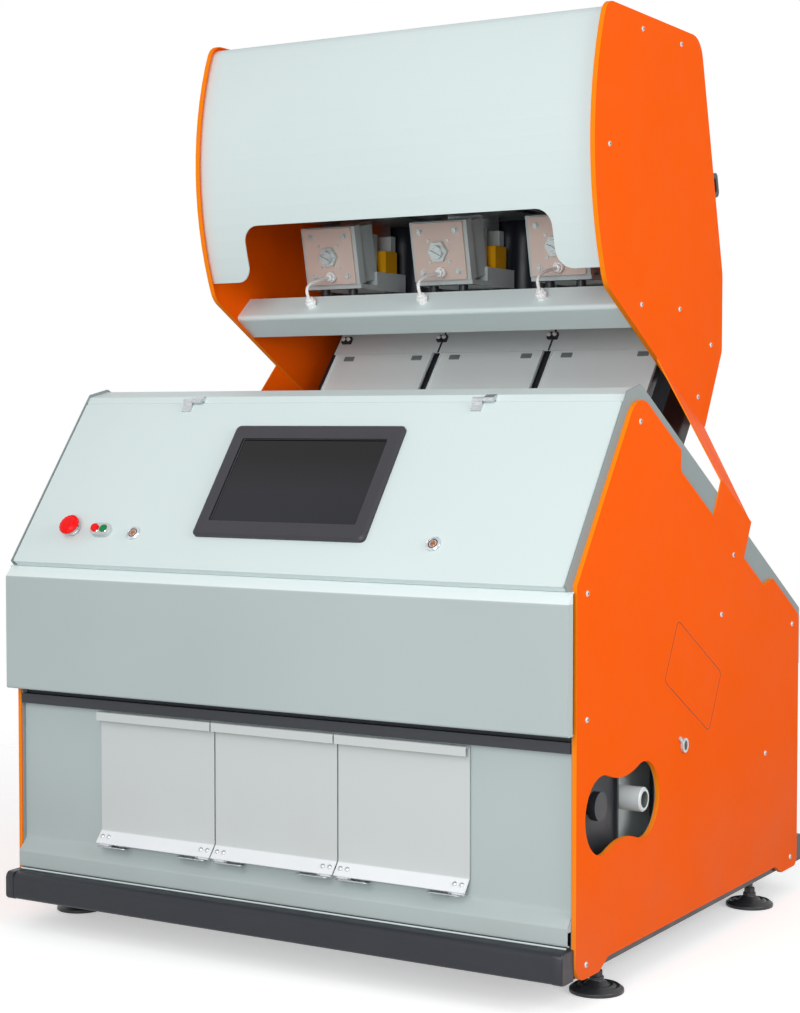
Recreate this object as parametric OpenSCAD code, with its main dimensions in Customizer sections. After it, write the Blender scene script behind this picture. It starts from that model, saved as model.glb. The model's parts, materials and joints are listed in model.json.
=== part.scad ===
// Three-chute optical colour sorter: cabinet with a hinged console, chutes and feeders under a hood

/* [Cabinet] */
// Outer width over the side covers
cab_w = 1500; // [1400:10:1600]
// Depth of the side covers
cover_d = 1306; // [1280:2:1340]
// Depth of the covers' folded edge
cover_t = 10; // [8:0.5:14]
// Thickness of the folded sheet
sheet = 3; // [2:0.1:4]
// How far the side walls stand out past the covers
rim = 28; // [20:1:34]
// Height of the lower edge of the covers' feet
plinth_z = 64; // [56:1:72]
// Height of the covers' lower edge between the feet
skirt_z = 87; // [80:1:94]
// Height of the knee where the console slope starts
knee_z = 883; // [870:1:900]
// Slope of the console
con_a = 53.5; // [51:0.5:56]
// Slope of the cabinet's back
back_a = 29.4; // [28:0.2:31]
// Radius of the covers' top corner
apex_r = 70; // [40:1:90]
// Depth of the recess that takes the hood's tabs
recess = 42; // [36:1:46]

/* [Front] */
// How far the front panel stands ahead of the covers
front_out = 41; // [36:1:46]
// Height of the front panel's lower edge
front_z = 577; // [565:1:590]
// Height of the black channel under the front panel
channel_h = 39; // [30:1:45]
// How far the lower front lies behind the covers' edge
lower_in = 12; // [10:0.5:15]
// Width of one chute, feeder and sample door
pitch = 333; // [320:1:340]
// Height of the sample doors' lower bend
door_z = 253; // [248:1:260]
// Height of the sample doors
door_h = 281; // [270:1:284]
// How far the doors' flap and lip stand out
flap = 23; // [20:1:26]
// Gap between two sample doors
door_gap = 4; // [3:0.5:8]
// How far the bumpers stand out past the covers
bumper_out = 54.5; // [50:0.5:60]
// Height of the bumpers' lower edge
bumper_z = 70; // [66:1:78]
// Height of the bumpers
bumper_h = 65; // [55:1:68]

/* [Base and feet] */
// Width of the base frame's side rails
rail_w = 52; // [44:1:60]
// Height of the base frame's rails
rail_h = 72; // [60:1:76]
// Height of the rails' underside
rail_z = 68; // [62:1:80]
// Diameter of a foot's pad
pad_d = 118; // [90:1:130]
// Diameter of a foot's stem
stem_d = 16; // [12:1:20]
// Distance from the covers' front edge to the front feet
foot_front = 181; // [160:1:220]
// Distance from the front feet to the rear feet
foot_span = 891; // [840:1:900]
// Radial clearance of stems, pins and locks in their bores
run_gap = 0.06; // [0.03:0.01:0.1]

/* [Console] */
// Length of the console panel along its slope
con_len = 470; // [465:1:474]
// Width of the fixed strip above the console panel
strip_face = 19.7; // [14:0.1:26]
// Depth of the console panel's returned edge
con_ret = 18; // [14:1:22]
// Width of the screen's frame
screen_w = 464; // [420:1:500]
// Height of the screen's frame
screen_h = 310; // [290:1:330]
// Width of the screen's glass
glass_w = 398; // [360:1:410]
// Height of the screen's glass
glass_h = 232; // [210:1:240]
// How far the screen's frame stands out
bezel_t = 12; // [9:0.5:16]
// Diameter of the emergency stop's head
estop_d = 50; // [44:1:54]
// Diameter of a push button
button_d = 20; // [16:1:24]
// Diameter of a cam lock's face
lock_d = 36; // [32:1:40]
// Clearance between a moving piece and its neighbours
gap = 0.5; // [0.3:0.1:0.8]

/* [Hood] */
// Outer width over the hood's side panels
hood_w = 1122; // [1114:2:1130]
// Height of the hood's top
hood_z = 2181; // [2160:1:2200]
// Depth of the hood panels' folded edge
hood_t = 12; // [9:0.5:15]
// Radius of the hood's curved front
hood_r = 818; // [800:1:840]
// How far the hood's sheets lie inside the panels' edge
hood_in = 14; // [12:0.5:18]
// Width of the arched opening over the feeders
arch_w = 870; // [820:5:920]
// Height of the arched opening's top edge
arch_z = 1710; // [1700:1:1720]
// Height of the front cover's lower edge
tab_z = 1572; // [1565:1:1580]

/* [Feeders and chutes] */
// Slope of the chutes
chute_a = 51.5; // [50:0.5:53]
// Width of a chute's channel
chute_w = 300; // [280:1:310]
// Depth of a chute's channel
chute_d = 40; // [32:1:46]
// Tilt of the feeder drives
drive_a = 12; // [9:0.5:14]
// Width of a feeder drive's box
drive_w = 166; // [150:1:176]
// Height of a feeder drive's box
drive_h = 152; // [140:1:156]
// Depth of a feeder drive's box
drive_d = 100; // [90:1:110]
// Side of a feeder drive's front plate
plate_w = 146; // [130:1:148]
// Travel of a feeder tray each way
tray_stroke = 1; // [0.5:0.1:1.5]

/* [Side openings] */
// Radius of the lobes of the hole in the right cover
lobe_r = 84; // [78:1:88]
// Distance between the lobes
lobe_span = 208; // [196:1:216]
// Height of the hole's waist
waist_h = 132; // [120:1:140]
// Outer diameter of the air pipe
pipe_d = 54; // [50:1:60]
// Bore of the air pipe
pipe_bore = 36; // [30:1:42]
// Length of the hatch in the right cover
hatch_w = 296; // [260:1:310]
// Height of the hatch in the right cover
hatch_h = 149; // [130:1:160]

/* [Hidden] */
$fn = 48;
orange = "#FF6600";
pale = "#DDEAEA";
grey = "#B0C0C0";
black = "#2D3036";
steel = "#B8BEC2";
beige = "#C8B0A6";
amber = "#E0A000";

// Widths worked out from the driving sizes
half_w = cab_w / 2;
wall_out = half_w - cover_t;
wall_in = wall_out - sheet;
hood_half = hood_w / 2;
hood_face = hood_half - sheet;
lanes = [-1, 0, 1];

// Places along the cabinet's slopes
con_h = rim - 2;
con_s0 = -20;
con_s1 = con_s0 + con_len;
apex_cut = 48;
tab_s0 = 405;
tab_s1 = 628;
recess_s0 = tab_s0 - 141;
recess_s1 = tab_s1 + 239;
crease_h = 332;
crease_s0 = tab_s0 - 10;
crease_s1 = tab_s1 + 110;
wall_front = -8;
rear_out = 34;

// Corner where the two slopes meet, and the covers' height at the back edge below it
strip_h = con_h - 3;
slope_s = con_s1 + sheet + strip_face + apex_cut - strip_h * tan((con_a + back_a) / 2);
ridge = [slope_s * cos(con_a), knee_z + slope_s * sin(con_a)];
back_l = 1157.5;
back_z = ridge[1] - (cover_d - ridge[0]) * tan(back_a);

function unit(v) = v / norm(v);

// Points of a corner b, between a and c, rounded to the radius b[2]
function corner(a, b, c, n) =
    let (p = [b[0], b[1]], u = unit([a[0], a[1]] - p), v = unit([c[0], c[1]] - p),
         r = len(b) > 2 ? b[2] : 0)
    r <= 0 ? [p] :
    let (half = acos(u * v) / 2, m = p + unit(u + v) * (r / sin(half)),
         q = p + u * (r / tan(half)) - m, w = p + v * (r / tan(half)) - m,
         a0 = atan2(q[1], q[0]), turn = (atan2(w[1], w[0]) - a0 + 540) % 360 - 180)
    [for (i = [0:n]) m + r * [cos(a0 + turn * i / n), sin(a0 + turn * i / n)]];

// A closed outline and an open path with their corners rounded
function rounded(pts, n = 5) =
    [for (i = [0:len(pts) - 1])
        each corner(pts[(i + len(pts) - 1) % len(pts)], pts[i], pts[(i + 1) % len(pts)], n)];
function rounded_path(pts, n = 4) =
    [for (i = [0:len(pts) - 1])
        each i == 0 || i == len(pts) - 1 ? [[pts[i][0], pts[i][1]]]
            : corner(pts[i - 1], pts[i], pts[i + 1], n)];

// A path moved to its left by t, and the bent sheet between the two
function left(a, b) = let (d = unit(b - a)) [-d[1], d[0]];
function mitre(a, b, c, t) = let (n1 = left(a, b), n2 = left(b, c)) b + (n1 + n2) * t / (1 + n1 * n2);
function moved(path, t) =
    [for (i = [0:len(path) - 1])
        i == 0 ? path[0] + left(path[0], path[1]) * t
        : i == len(path) - 1 ? path[i] + left(path[i - 1], path[i]) * t
        : mitre(path[i - 1], path[i], path[i + 1], t)];
function bent(path, t) = concat(path, [for (i = [len(path) - 1:-1:0]) moved(path, t)[i]]);
function inset(pts, t) =
    [for (i = [0:len(pts) - 1])
        mitre(pts[(i + len(pts) - 1) % len(pts)], pts[i], pts[(i + 1) % len(pts)], t)];

// Points s along and h out from the console slope, the back slope and the chutes
function con(s, h) = [s * cos(con_a) - h * sin(con_a), knee_z + s * sin(con_a) + h * cos(con_a)];
function bk(s, h) = ridge + (back_l - s) * [cos(back_a), -sin(back_a)] + h * [sin(back_a), cos(back_a)];
function with_r(p, r) = [p[0], p[1], r];
function apex(h) =
    let (d1 = [cos(con_a), sin(con_a)], d2 = [-cos(back_a), sin(back_a)], p = con(0, h), q = bk(0, h))
    p + d1 * cross(q - p, d2) / cross(d1, d2);
function apex_front(h) = apex(h) - apex_cut * [cos(con_a), sin(con_a)];
function apex_back(h) = apex(h) - apex_cut * [-cos(back_a), sin(back_a)];

// Depths are measured from the covers' front edge, and the part's origin lies midway
module from_front() {
    translate([0, -cover_d / 2, 0]) children();
}

// A depth and height outline carried across the machine from x0, over the width w
module across(x0, w) {
    translate([x0, 0, 0]) rotate([90, 0, 90]) linear_extrude(w) children();
}

// An outline in width and height carried back from the depth y0
module back_from(y0, d) {
    translate([0, y0 + d, 0]) rotate([90, 0, 0]) linear_extrude(d) children();
}

// A place on the console and a place on the back slope
module on_console(x, s, h) {
    translate([x, con(s, h)[0], con(s, h)[1]]) rotate([con_a, 0, 0]) children();
}
module on_back(x, s, h) {
    translate([x, bk(s, h)[0], bk(s, h)[1]]) rotate([-back_a, 0, 0]) children();
}

// Outlines of the covers and of the walls behind them, in depth and height
foot_l = 112;
foot_rise = 44;
cover_pts = [
    [0, plinth_z, 40], [foot_l, plinth_z, 14], [foot_l + foot_rise, skirt_z, 24],
    [cover_d - foot_l - foot_rise, skirt_z, 24], [cover_d - foot_l, plinth_z, 14], [cover_d, plinth_z, 24],
    [cover_d, back_z, 22], with_r(bk(recess_s0 - 47, 0), 12), with_r(bk(recess_s0, -recess), 14),
    with_r(bk(recess_s1, -recess), 15), with_r(bk(recess_s1 + 21, 0), 12), with_r(apex(0), apex_r),
    [0, knee_z, 8]];
rear_y = cover_d + rear_out - sheet;
rear_step = 22;
wall_z = skirt_z + 5;
lip_z = con(con_s0, con_h)[1] - 11;
wall_pts = [
    [sheet, wall_z], [cover_d, wall_z], [cover_d, bumper_z + bumper_h + 1],
    [rear_y - rear_step, bumper_z + bumper_h + 1], [rear_y - rear_step, back_z - 130],
    [rear_y, back_z - 130],
    with_r([rear_y, bk(0, rim)[1] - (rear_y - bk(0, rim)[0]) * tan(back_a)], 10),
    with_r(apex_back(rim), 10), with_r(apex_front(rim), 10), con(con_s0, rim), [wall_front - 16, lip_z + 1],
    [wall_front, lip_z + 1], [wall_front, front_z], [sheet, front_z]];

// Two lobes joined by a waist that runs into them without a corner
hole_y = 126;
hole_z = 392;
function arc(at, r, a0, a1, n) =
    [for (i = [0:n - 1]) let (a = a0 + (a1 - a0) * i / n) at + r * [cos(a), sin(a)]];
module peanut(grow) {
    r = lobe_r + grow;
    waist = waist_h / 2 + grow;
    span = lobe_span / 2;
    rc = (span * span + waist * waist - r * r) / (2 * (r - waist));
    turn = atan2(waist + rc, -span);
    translate([hole_y + span, hole_z]) polygon(concat(
        arc([span, 0], r, -turn, turn, 36), arc([0, waist + rc], rc, turn - 180, -turn, 10),
        arc([-span, 0], r, 180 - turn, 180 + turn, 36), arc([0, -waist - rc], rc, turn, 180 - turn, 10)));
}

// Rounded rectangle about the origin
module pad_shape(w, h, r) {
    polygon(rounded([[-w / 2, -h / 2, r], [w / 2, -h / 2, r], [w / 2, h / 2, r], [-w / 2, h / 2, r]]));
}

hatch_at = [611, 631];
hatch_r = 14;
module hatch_shape(w, h, r) {
    translate(hatch_at) rotate(-back_a) pad_shape(w, h, r);
}

// Welded frame under the cabinet
bumper_in = 2;
cross_w = 52;
mid_y = 640;
module base_frame() color(black) from_front() difference() {
    union() {
        for (side = [-1, 1])
            translate([side * (wall_in - rail_w / 2) - rail_w / 2, -bumper_in, rail_z])
                cube([rail_w, cover_d + 2 * bumper_in, rail_h]);
        for (y = [-bumper_in, mid_y, cover_d + bumper_in - cross_w])
            translate([-wall_in + rail_w / 2, y, rail_z]) cube([2 * wall_in - rail_w, cross_w, rail_h]);
    }
    for (x = [-1, 1], y = [foot_front, foot_front + foot_span])
        translate([x * (wall_in - rail_w / 2), y, rail_z - 1])
            cylinder(d = stem_d + 2 * run_gap, h = rail_h + 2);
}

// Levelling foot: ribbed pad, ball boss, nut and stem
pad_h = 15;
boss_z = 34;
module foot(side, y) color(black) from_front() translate([side * (wall_in - rail_w / 2), y, 0]) {
    rotate_extrude() polygon(rounded([
        [0, 0], [pad_d / 2, 0, 2], [pad_d / 2, pad_h - 7, 3], [pad_d * 0.42, pad_h, 2],
        [pad_d * 0.37, pad_h - 3, 2], [pad_d * 0.31, pad_h + 3, 2], [pad_d * 0.25, pad_h, 2],
        [stem_d, boss_z - 8, 4], [stem_d, boss_z, 2], [0, boss_z]], 3));
    translate([0, 0, boss_z]) cylinder(d = stem_d * 1.75, h = 12, $fn = 6);
    translate([0, 0, boss_z]) cylinder(d = stem_d, h = rail_z + rail_h - boss_z - 8);
}
module foot_front_left() foot(-1, foot_front);
module foot_front_right() foot(1, foot_front);
module foot_rear_left() foot(-1, foot_front + foot_span);
module foot_rear_right() foot(1, foot_front + foot_span);

// Moulded bumpers along the front and the back
bumper_w = cab_w - 9;
module bumpers() color(black) from_front()
    for (side = [0, 1]) translate([0, side * cover_d, 0]) mirror([0, side, 0])
        across(-bumper_w / 2, bumper_w) polygon(rounded([
            [-bumper_out, bumper_z, 10], [-bumper_in, bumper_z], [-bumper_in, bumper_z + bumper_h],
            [-bumper_out, bumper_z + bumper_h, 16]]));

// Plate walls that carry the covers, the console and the chutes
module side_wall() {
    across(wall_in, sheet) difference() {
        polygon(rounded(wall_pts));
        children();
    }
}
module left_side_wall() color(grey) from_front() mirror([1, 0, 0]) side_wall();
module right_side_wall() color(grey) from_front() side_wall() peanut(sheet);

// Covers with a folded edge
latch_at = [552, 481];
latch_pin = 12;
module cover_tray() {
    difference() {
        across(wall_out, cover_t) polygon(rounded(cover_pts));
        across(wall_out - 1, cover_t - sheet + 1) polygon(inset(rounded(cover_pts), sheet));
    }
}
module left_side_cover() color(orange) from_front() mirror([1, 0, 0]) cover_tray();
module right_side_cover() color(orange) from_front() {
    difference() {
        cover_tray();
        across(wall_out - 1, cover_t + 2) {
            peanut(0);
            hatch_shape(hatch_w + 2, hatch_h + 2, hatch_r + 1);
        }
        translate([wall_out, latch_at[0], latch_at[1]]) rotate([0, 90, 0])
            cylinder(d = latch_pin + 2 * run_gap, h = cover_t + 1);
    }
    across(wall_out, cover_t - sheet) difference() {
        peanut(sheet);
        peanut(0);
    }
}

// Flush hatch, a shallow tray on the wall
module side_hatch() color(orange) from_front() difference() {
    across(wall_out, cover_t) hatch_shape(hatch_w, hatch_h, hatch_r);
    across(wall_out - 1, cover_t - sheet + 1)
        hatch_shape(hatch_w - 2 * sheet, hatch_h - 2 * sheet, hatch_r - sheet);
}

// Quarter-turn latch with a wing and a cam behind the cover
latch_d = 33;
module side_latch() color(steel) from_front()
    translate([half_w, latch_at[0], latch_at[1]]) rotate([0, 90, 0]) {
        translate([0, 0, gap]) difference() {
            union() {
                cylinder(d = latch_d, h = 6);
                rotate(-127) translate([0, -4, 0]) cube([latch_d, 8, 4]);
            }
            translate([-10, -2.5, 4]) cube([20, 5, 3]);
        }
        translate([0, 0, 2 + gap - cover_t]) cylinder(d = latch_pin, h = cover_t - 2);
        translate([-8, -8, gap - cover_t + 2]) cube([26, 16, cover_t - sheet - 2 - 2 * gap]);
    }

// Folded front panel with a slanted lip and closed ends
lip_d = 24;
end_ret = 22;
module front_panel() color(grey) from_front() {
    across(-half_w + sheet, cab_w - 2 * sheet) polygon(bent(rounded_path([
        [wall_front, lip_z], [lip_d - front_out, lip_z, sheet + 1], [-front_out, lip_z - lip_d, 10],
        [-front_out, front_z, sheet + 2], [wall_front, front_z]]), sheet));
    for (x = [-half_w, half_w - sheet]) across(x, sheet) polygon(rounded([
        [-front_out, front_z, 5], [end_ret - front_out, front_z], [end_ret - front_out, lip_z],
        [lip_d - front_out, lip_z, 4], [-front_out, lip_z - lip_d, 10]]));
}

// Black stepped channel under the front panel
channel_z = front_z - channel_h;
channel_step = 16;
module shadow_channel() color(black) from_front() across(-wall_in, 2 * wall_in) polygon([
    [-3, channel_z], [lower_in + 20, channel_z], [lower_in + 20, front_z], [channel_step, front_z],
    [channel_step, front_z - channel_step], [-3, front_z - channel_step]]);

// Recessed lower front with three sample openings and a sill that bends out
sill_out = 15;
sill_z = bumper_z + bumper_h + 7;
bay_w = pitch - 40;
bay_z0 = door_z + 14;
bay_z1 = door_z + door_h - 36;
module lower_front() color(grey) from_front() difference() {
    across(-wall_in, 2 * wall_in) polygon(bent(rounded_path([
        [lower_in, channel_z], [lower_in, sill_z + 66, 20], [-sill_out, sill_z + 38, 6],
        [-sill_out, sill_z, 5], [-bumper_in - 2, sill_z - 3]]), sheet));
    for (lane = lanes) back_from(lower_in - 1, sheet + 2)
        translate([lane * pitch, (bay_z0 + bay_z1) / 2]) pad_shape(bay_w, bay_z1 - bay_z0, 8);
}

// Sample doors: pull lip, plain panel, bent-out flap and two hinge knuckles
door_t = 2.5;
door_y = lower_in - 6;
door_top = door_z + door_h;
door_w = pitch - door_gap;
flap_drop = 28;
knuckle_l = 28;
hinge_in = 36;
door_pin = 5;
door_axis = [door_y - flap + 10, door_z - flap_drop - 4];
function flap_under(y) = door_z - flap_drop + (y - door_y + flap) * flap_drop / flap - door_t;
module sample_door(lane) color(grey) from_front() {
    translate([lane * pitch, 0, 0]) across(-door_w / 2, door_w) polygon(bent(rounded_path([
        [door_y - 16, door_top - 20], [door_y - 16, door_top - door_t, 1], [door_y, door_top - door_t, 1],
        [door_y, door_z, 6], [door_y - flap, door_z - flap_drop]]), door_t));
    for (side = [-1, 1]) translate([lane * pitch + side * (door_w / 2 - hinge_in / 2 - 2), 0, 0])
        across(-knuckle_l / 2, knuckle_l) difference() {
            union() {
                translate(door_axis) circle(d = door_pin + 4);
                polygon([door_axis - [4, 0], door_axis + [4, 0],
                    [door_axis[0] + 6, flap_under(door_axis[0] + 6)],
                    [door_axis[0] - 6, flap_under(door_axis[0] - 6)]]);
            }
            translate(door_axis) circle(d = door_pin + 2 * run_gap);
        }
}
module sample_door_1() sample_door(-1);
module sample_door_2() sample_door(0);
module sample_door_3() sample_door(1);

// Fixed strip over the console's top edge, bent over the apex
strip_back = 215;
module top_strip() color(pale) from_front() across(-wall_in, 2 * wall_in) polygon(bent(rounded_path([
    con(con_s1 + sheet, strip_h - con_ret), with_r(con(con_s1 + sheet, strip_h), sheet + 1),
    with_r(apex_front(strip_h), 6), with_r(apex_back(strip_h), 8),
    apex_back(strip_h) + strip_back * [cos(back_a), -sin(back_a)]]), -sheet));

// Places on the console panel, measured from its lower edge
estop_at = [-590, 92];
twin_at = [-504, 93];
twin_span = 24;
lock_at = [[-410, 91], [400, 91]];
screen_at = [-4, 243];
estop_stem = 16;
lock_pin = 16;
panel_w = 2 * wall_in - 4;
module on_panel(at) {
    on_console(at[0], con_s0 + at[1], con_h) children();
}

// Hinged console panel, a tray with returned edges
module console_panel() color(pale) from_front() difference() {
    on_panel([0, con_len / 2]) difference() {
        translate([0, 0, -con_ret]) linear_extrude(con_ret) pad_shape(panel_w, con_len, 6);
        translate([0, 0, -con_ret - 1]) linear_extrude(con_ret - sheet + 1)
            pad_shape(panel_w - 2 * sheet, con_len - 2 * sheet, 3);
    }
    on_panel(estop_at) translate([0, 0, -sheet - 1]) cylinder(d = estop_stem + 2, h = sheet + 2);
    for (side = [-1, 1]) on_panel(twin_at + [side * twin_span / 2, 0])
        translate([0, 0, -sheet - 1]) cylinder(d = button_d + 1, h = sheet + 2);
    for (at = lock_at) on_panel(at)
        translate([0, 0, -sheet - 1]) cylinder(d = lock_pin + 2 * run_gap, h = sheet + 2);
}

// Leaves of the console's hinges
con_hinge_x = 400;
con_pin = 6;
con_knuckle = 12;
con_leaf_l = 26;
con_axis = [con_s1 + 1.5, con_h + con_knuckle / 2 + 1];
module hinge_section(pts) {
    translate(con_axis) circle(d = con_knuckle);
    polygon(pts);
}
module on_hinge_line(x, w) {
    on_console(0, 0, 0) across(x, w) children();
}
module console_hinge_leaves() color(steel) from_front()
    for (x = [-con_hinge_x, con_hinge_x]) on_hinge_line(x - con_leaf_l - gap / 2, con_leaf_l) difference() {
        hinge_section([[con_s1 - 26, con_h], [con_s1 - 4, con_h], con_axis + [0, -5.5],
            con_axis + [-1, 5.5], [con_s1 - 12, con_h + 5], [con_s1 - 26, con_h + 5]]);
        translate(con_axis) circle(d = con_pin + 2 * run_gap);
    }

// Fixed halves of the console's and the doors' hinges, with their pins
ear_t = 8;
module console_hinge_base(x) {
    on_hinge_line(x + gap / 2, con_leaf_l) hinge_section([
        [con_s1 + 6, strip_h], [con_s1 + 20, strip_h], [con_s1 + 20, strip_h + 5], con_axis + [1, 5.5],
        con_axis + [4, -4]]);
    on_console(x + gap / 2 + 1, con_axis[0], con_axis[1]) rotate([0, -90, 0])
        cylinder(d = con_pin, h = con_leaf_l + gap + 1);
}
module door_hinge_base() {
    inner = door_w / 2 - hinge_in / 2 - 2 - knuckle_l / 2 - gap;
    across(inner - ear_t, ear_t) {
        translate(door_axis) circle(d = door_pin + 4);
        polygon([door_axis + [0, 4], door_axis - [0, 4], [lower_in, door_axis[1] - 3],
            [lower_in, door_axis[1] + 8]]);
    }
    translate([inner - 1, door_axis[0], door_axis[1]]) rotate([0, 90, 0])
        cylinder(d = door_pin, h = knuckle_l + gap + 1);
}
module hinge_bases() color(steel) from_front() {
    for (x = [-con_hinge_x, con_hinge_x]) console_hinge_base(x);
    for (lane = lanes, turn = [0, 1])
        translate([lane * pitch, 0, 0]) mirror([turn, 0, 0]) door_hinge_base();
}

// Touch screen: chamfered frame and glass
module screen_bezel() color(black) from_front() on_panel(screen_at) difference() {
    union() {
        linear_extrude(bezel_t - 4) pad_shape(screen_w, screen_h, 12);
        translate([0, 0, bezel_t - 4]) linear_extrude(4, scale = [1 - 10 / screen_w, 1 - 10 / screen_h])
            pad_shape(screen_w, screen_h, 12);
    }
    translate([0, 0, -1]) linear_extrude(bezel_t + 2) pad_shape(glass_w, glass_h, 4);
}
module screen_glass() color("#14141C") from_front() on_panel(screen_at)
    linear_extrude(bezel_t - 5) pad_shape(glass_w, glass_h, 4);

// Collar of the emergency stop and oval housing of the two push buttons
housing_h = 14;
module button_housings() color(steel) from_front() {
    on_panel(estop_at) difference() {
        cylinder(d = estop_stem + 14, h = housing_h);
        translate([0, 0, -1]) cylinder(d = estop_stem + 2 * run_gap, h = housing_h + 2);
    }
    on_panel(twin_at) difference() {
        linear_extrude(housing_h) pad_shape(twin_span + button_d + 12, button_d + 12, button_d / 2 + 5.5);
        for (side = [-1, 1]) translate([side * twin_span / 2, 0, -1])
            cylinder(d = button_d + 2 * run_gap, h = housing_h + 2);
    }
}

// Mushroom head on its stem
estop_travel = 5;
module estop_head() color("#F01010") from_front() on_panel(estop_at) rotate_extrude() polygon(rounded([
    [0, -sheet - 3], [estop_stem / 2, -sheet - 3], [estop_stem / 2, housing_h + estop_travel + 1],
    [estop_d / 2 - 3, housing_h + estop_travel + 1, 2], [estop_d / 2, housing_h + estop_travel + 7, 3],
    [estop_d / 2 - 8, housing_h + estop_travel + 14, 4], [0, housing_h + estop_travel + 15]], 4));

// Push buttons that slide in the oval housing
module push_button(side, proud) from_front() on_panel(twin_at + [side * twin_span / 2, 0])
    rotate_extrude() polygon(rounded([
        [0, 1], [button_d / 2, 1], [button_d / 2, housing_h + proud, 2], [0, housing_h + proud]], 3));
module stop_button() color("#F01010") push_button(-1, 8);
module start_button() color("#008040") push_button(1, 4);

// Cam lock: rimmed face with a key slot, barrel and cam
module cam_lock(at) color(steel) from_front() on_panel(at) {
    difference() {
        translate([0, 0, gap]) rotate_extrude() polygon(rounded([
            [0, 0], [lock_d / 2, 0], [lock_d / 2, 3, 1.5], [lock_d / 2 - 4, 6, 1], [lock_d / 2 - 5, 3.5],
            [0, 3.5]], 3));
        translate([-4.5, -1, 2]) cube([9, 2, 3]);
    }
    translate([0, 0, -9]) cylinder(d = lock_pin, h = 9 + gap);
    translate([-7, -34, -10]) cube([14, 41, 4]);
}
module lock_left() cam_lock(lock_at[0]);
module lock_right() cam_lock(lock_at[1]);

// Back of the cabinet: stepped rear panel and the slope up to the chutes
rear_top = bk(0, strip_h)[1] - (rear_y - bk(0, strip_h)[0]) * tan(back_a);
rear_s = 545;
module rear_panel() color(grey) from_front() across(-wall_in, 2 * wall_in) polygon(bent(rounded_path([
    [rear_y, rear_top - sheet], [rear_y, back_z - 130, sheet + 1], [rear_y - rear_step, back_z - 130, 4],
    [rear_y - rear_step, rail_z + rail_h]]), -sheet));
module rear_slope() color(grey) from_front() across(-wall_in, 2 * wall_in) polygon(bent([
    bk(rear_s - 1, strip_h - 40), bk(rear_s, strip_h), [rear_y, rear_top]], -sheet));

// Outline of the hood's side panels, with a front that follows an arc
hood_y = 470;
hood_mid = 1863;
hood_back = [1238, 1598];
hood_top_y = 1085;
hood_low_h = 560;
tab_h = 60;
function hood_arc(z, in) = hood_y + hood_r - sqrt(pow(hood_r - in, 2) - pow(z - hood_mid, 2));
function arc_pts(in, z0, z1, n) = [for (i = [0:n]) let (z = z0 + (z1 - z0) * i / n) [hood_arc(z, in), z]];
hood_corner =
    let (p = bk(0, crease_h), d = [-cos(back_a), sin(back_a)], w = p - [hood_y + hood_r, hood_mid])
    p + d * (sqrt(pow(w * d, 2) - w * w + hood_r * hood_r) - w * d);
hood_pts = concat([
    with_r(hood_corner, 60), with_r(bk(crease_s0, crease_h), 8), with_r(bk(crease_s0, hood_low_h), 30),
    with_r(hood_back, 120), [hood_top_y, hood_z, 65], [hood_arc(hood_z, 0), hood_z, 45]],
    arc_pts(0, hood_z - 60, hood_corner[1] + 45, 12));

// Hood side panel with an arm that bends out to a tab on the cabinet's wall
arm_run = [wall_out + sheet - hood_half, crease_h - tab_h];
module hood_panel() {
    difference() {
        across(hood_half - hood_t, hood_t) polygon(rounded(hood_pts));
        across(hood_half - hood_t - 1, hood_t - sheet + 1) polygon(inset(rounded(hood_pts), sheet));
    }
    on_back(0, 0, 0) {
        translate([hood_half, 0, crease_h]) rotate([0, -atan2(arm_run[0], arm_run[1]), 0])
            across(-sheet, sheet) polygon([
                [-crease_s0, sheet], [-crease_s1, sheet], [-tab_s1, -norm(arm_run)],
                [-tab_s0, -norm(arm_run)]]);
        across(wall_out, sheet) polygon(rounded([
            [-tab_s0, tab_h + sheet], [-tab_s1, tab_h + sheet], [-tab_s1, 2 - recess, 6],
            [-tab_s0, 2 - recess, 6]]));
    }
}
module hood_right_panel() color(orange) from_front() hood_panel();
module hood_left_panel() color(orange) from_front() mirror([1, 0, 0]) hood_panel();

// Curved front cover with the arched opening
hood_top_z = hood_z - 9;
seam_back = 60;
hood_seam = hood_arc(hood_top_z, hood_in) + seam_back;
module hood_front_cover() color(pale) from_front() difference() {
    across(-hood_face, 2 * hood_face) polygon(bent(rounded_path(concat(
        [[hood_seam, hood_top_z], [hood_arc(hood_top_z, hood_in), hood_top_z, 35]],
        arc_pts(hood_in, hood_top_z - 50, tab_z - 20, 14))), sheet));
    back_from(hood_y - 50, 200) polygon(rounded([
        [-hood_half, tab_z - 60], [hood_half, tab_z - 60], [hood_half, tab_z], [arch_w / 2, tab_z, 42],
        [arch_w / 2, arch_z, 42], [-arch_w / 2, arch_z, 42], [-arch_w / 2, tab_z, 42],
        [-hood_half, tab_z]], 8));
}

// Flat top with the feed inlet, and the cover behind it
inlet_w = 960;
inlet_y = [640, 940];
rear_seam = hood_top_y - 80;
module hood_top() color(pale) from_front() difference() {
    translate([-hood_face, hood_seam, hood_top_z - sheet])
        cube([2 * hood_face, rear_seam - hood_seam, sheet]);
    translate([-inlet_w / 2, inlet_y[0], hood_top_z - sheet - 1])
        cube([inlet_w, inlet_y[1] - inlet_y[0], sheet + 2]);
}
rear_cover_top = [hood_top_y - hood_in - 6, hood_top_z];
rear_cover_low = hood_back - [hood_in, 4];
module hood_rear_cover() color(pale) from_front() across(-hood_face, 2 * hood_face)
    polygon(bent(rounded_path([
        [rear_seam, hood_top_z], with_r(rear_cover_top, 50), with_r(rear_cover_low, 90),
        bk(crease_s0, hood_low_h) + [-hood_in, 24]]), -sheet));

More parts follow.
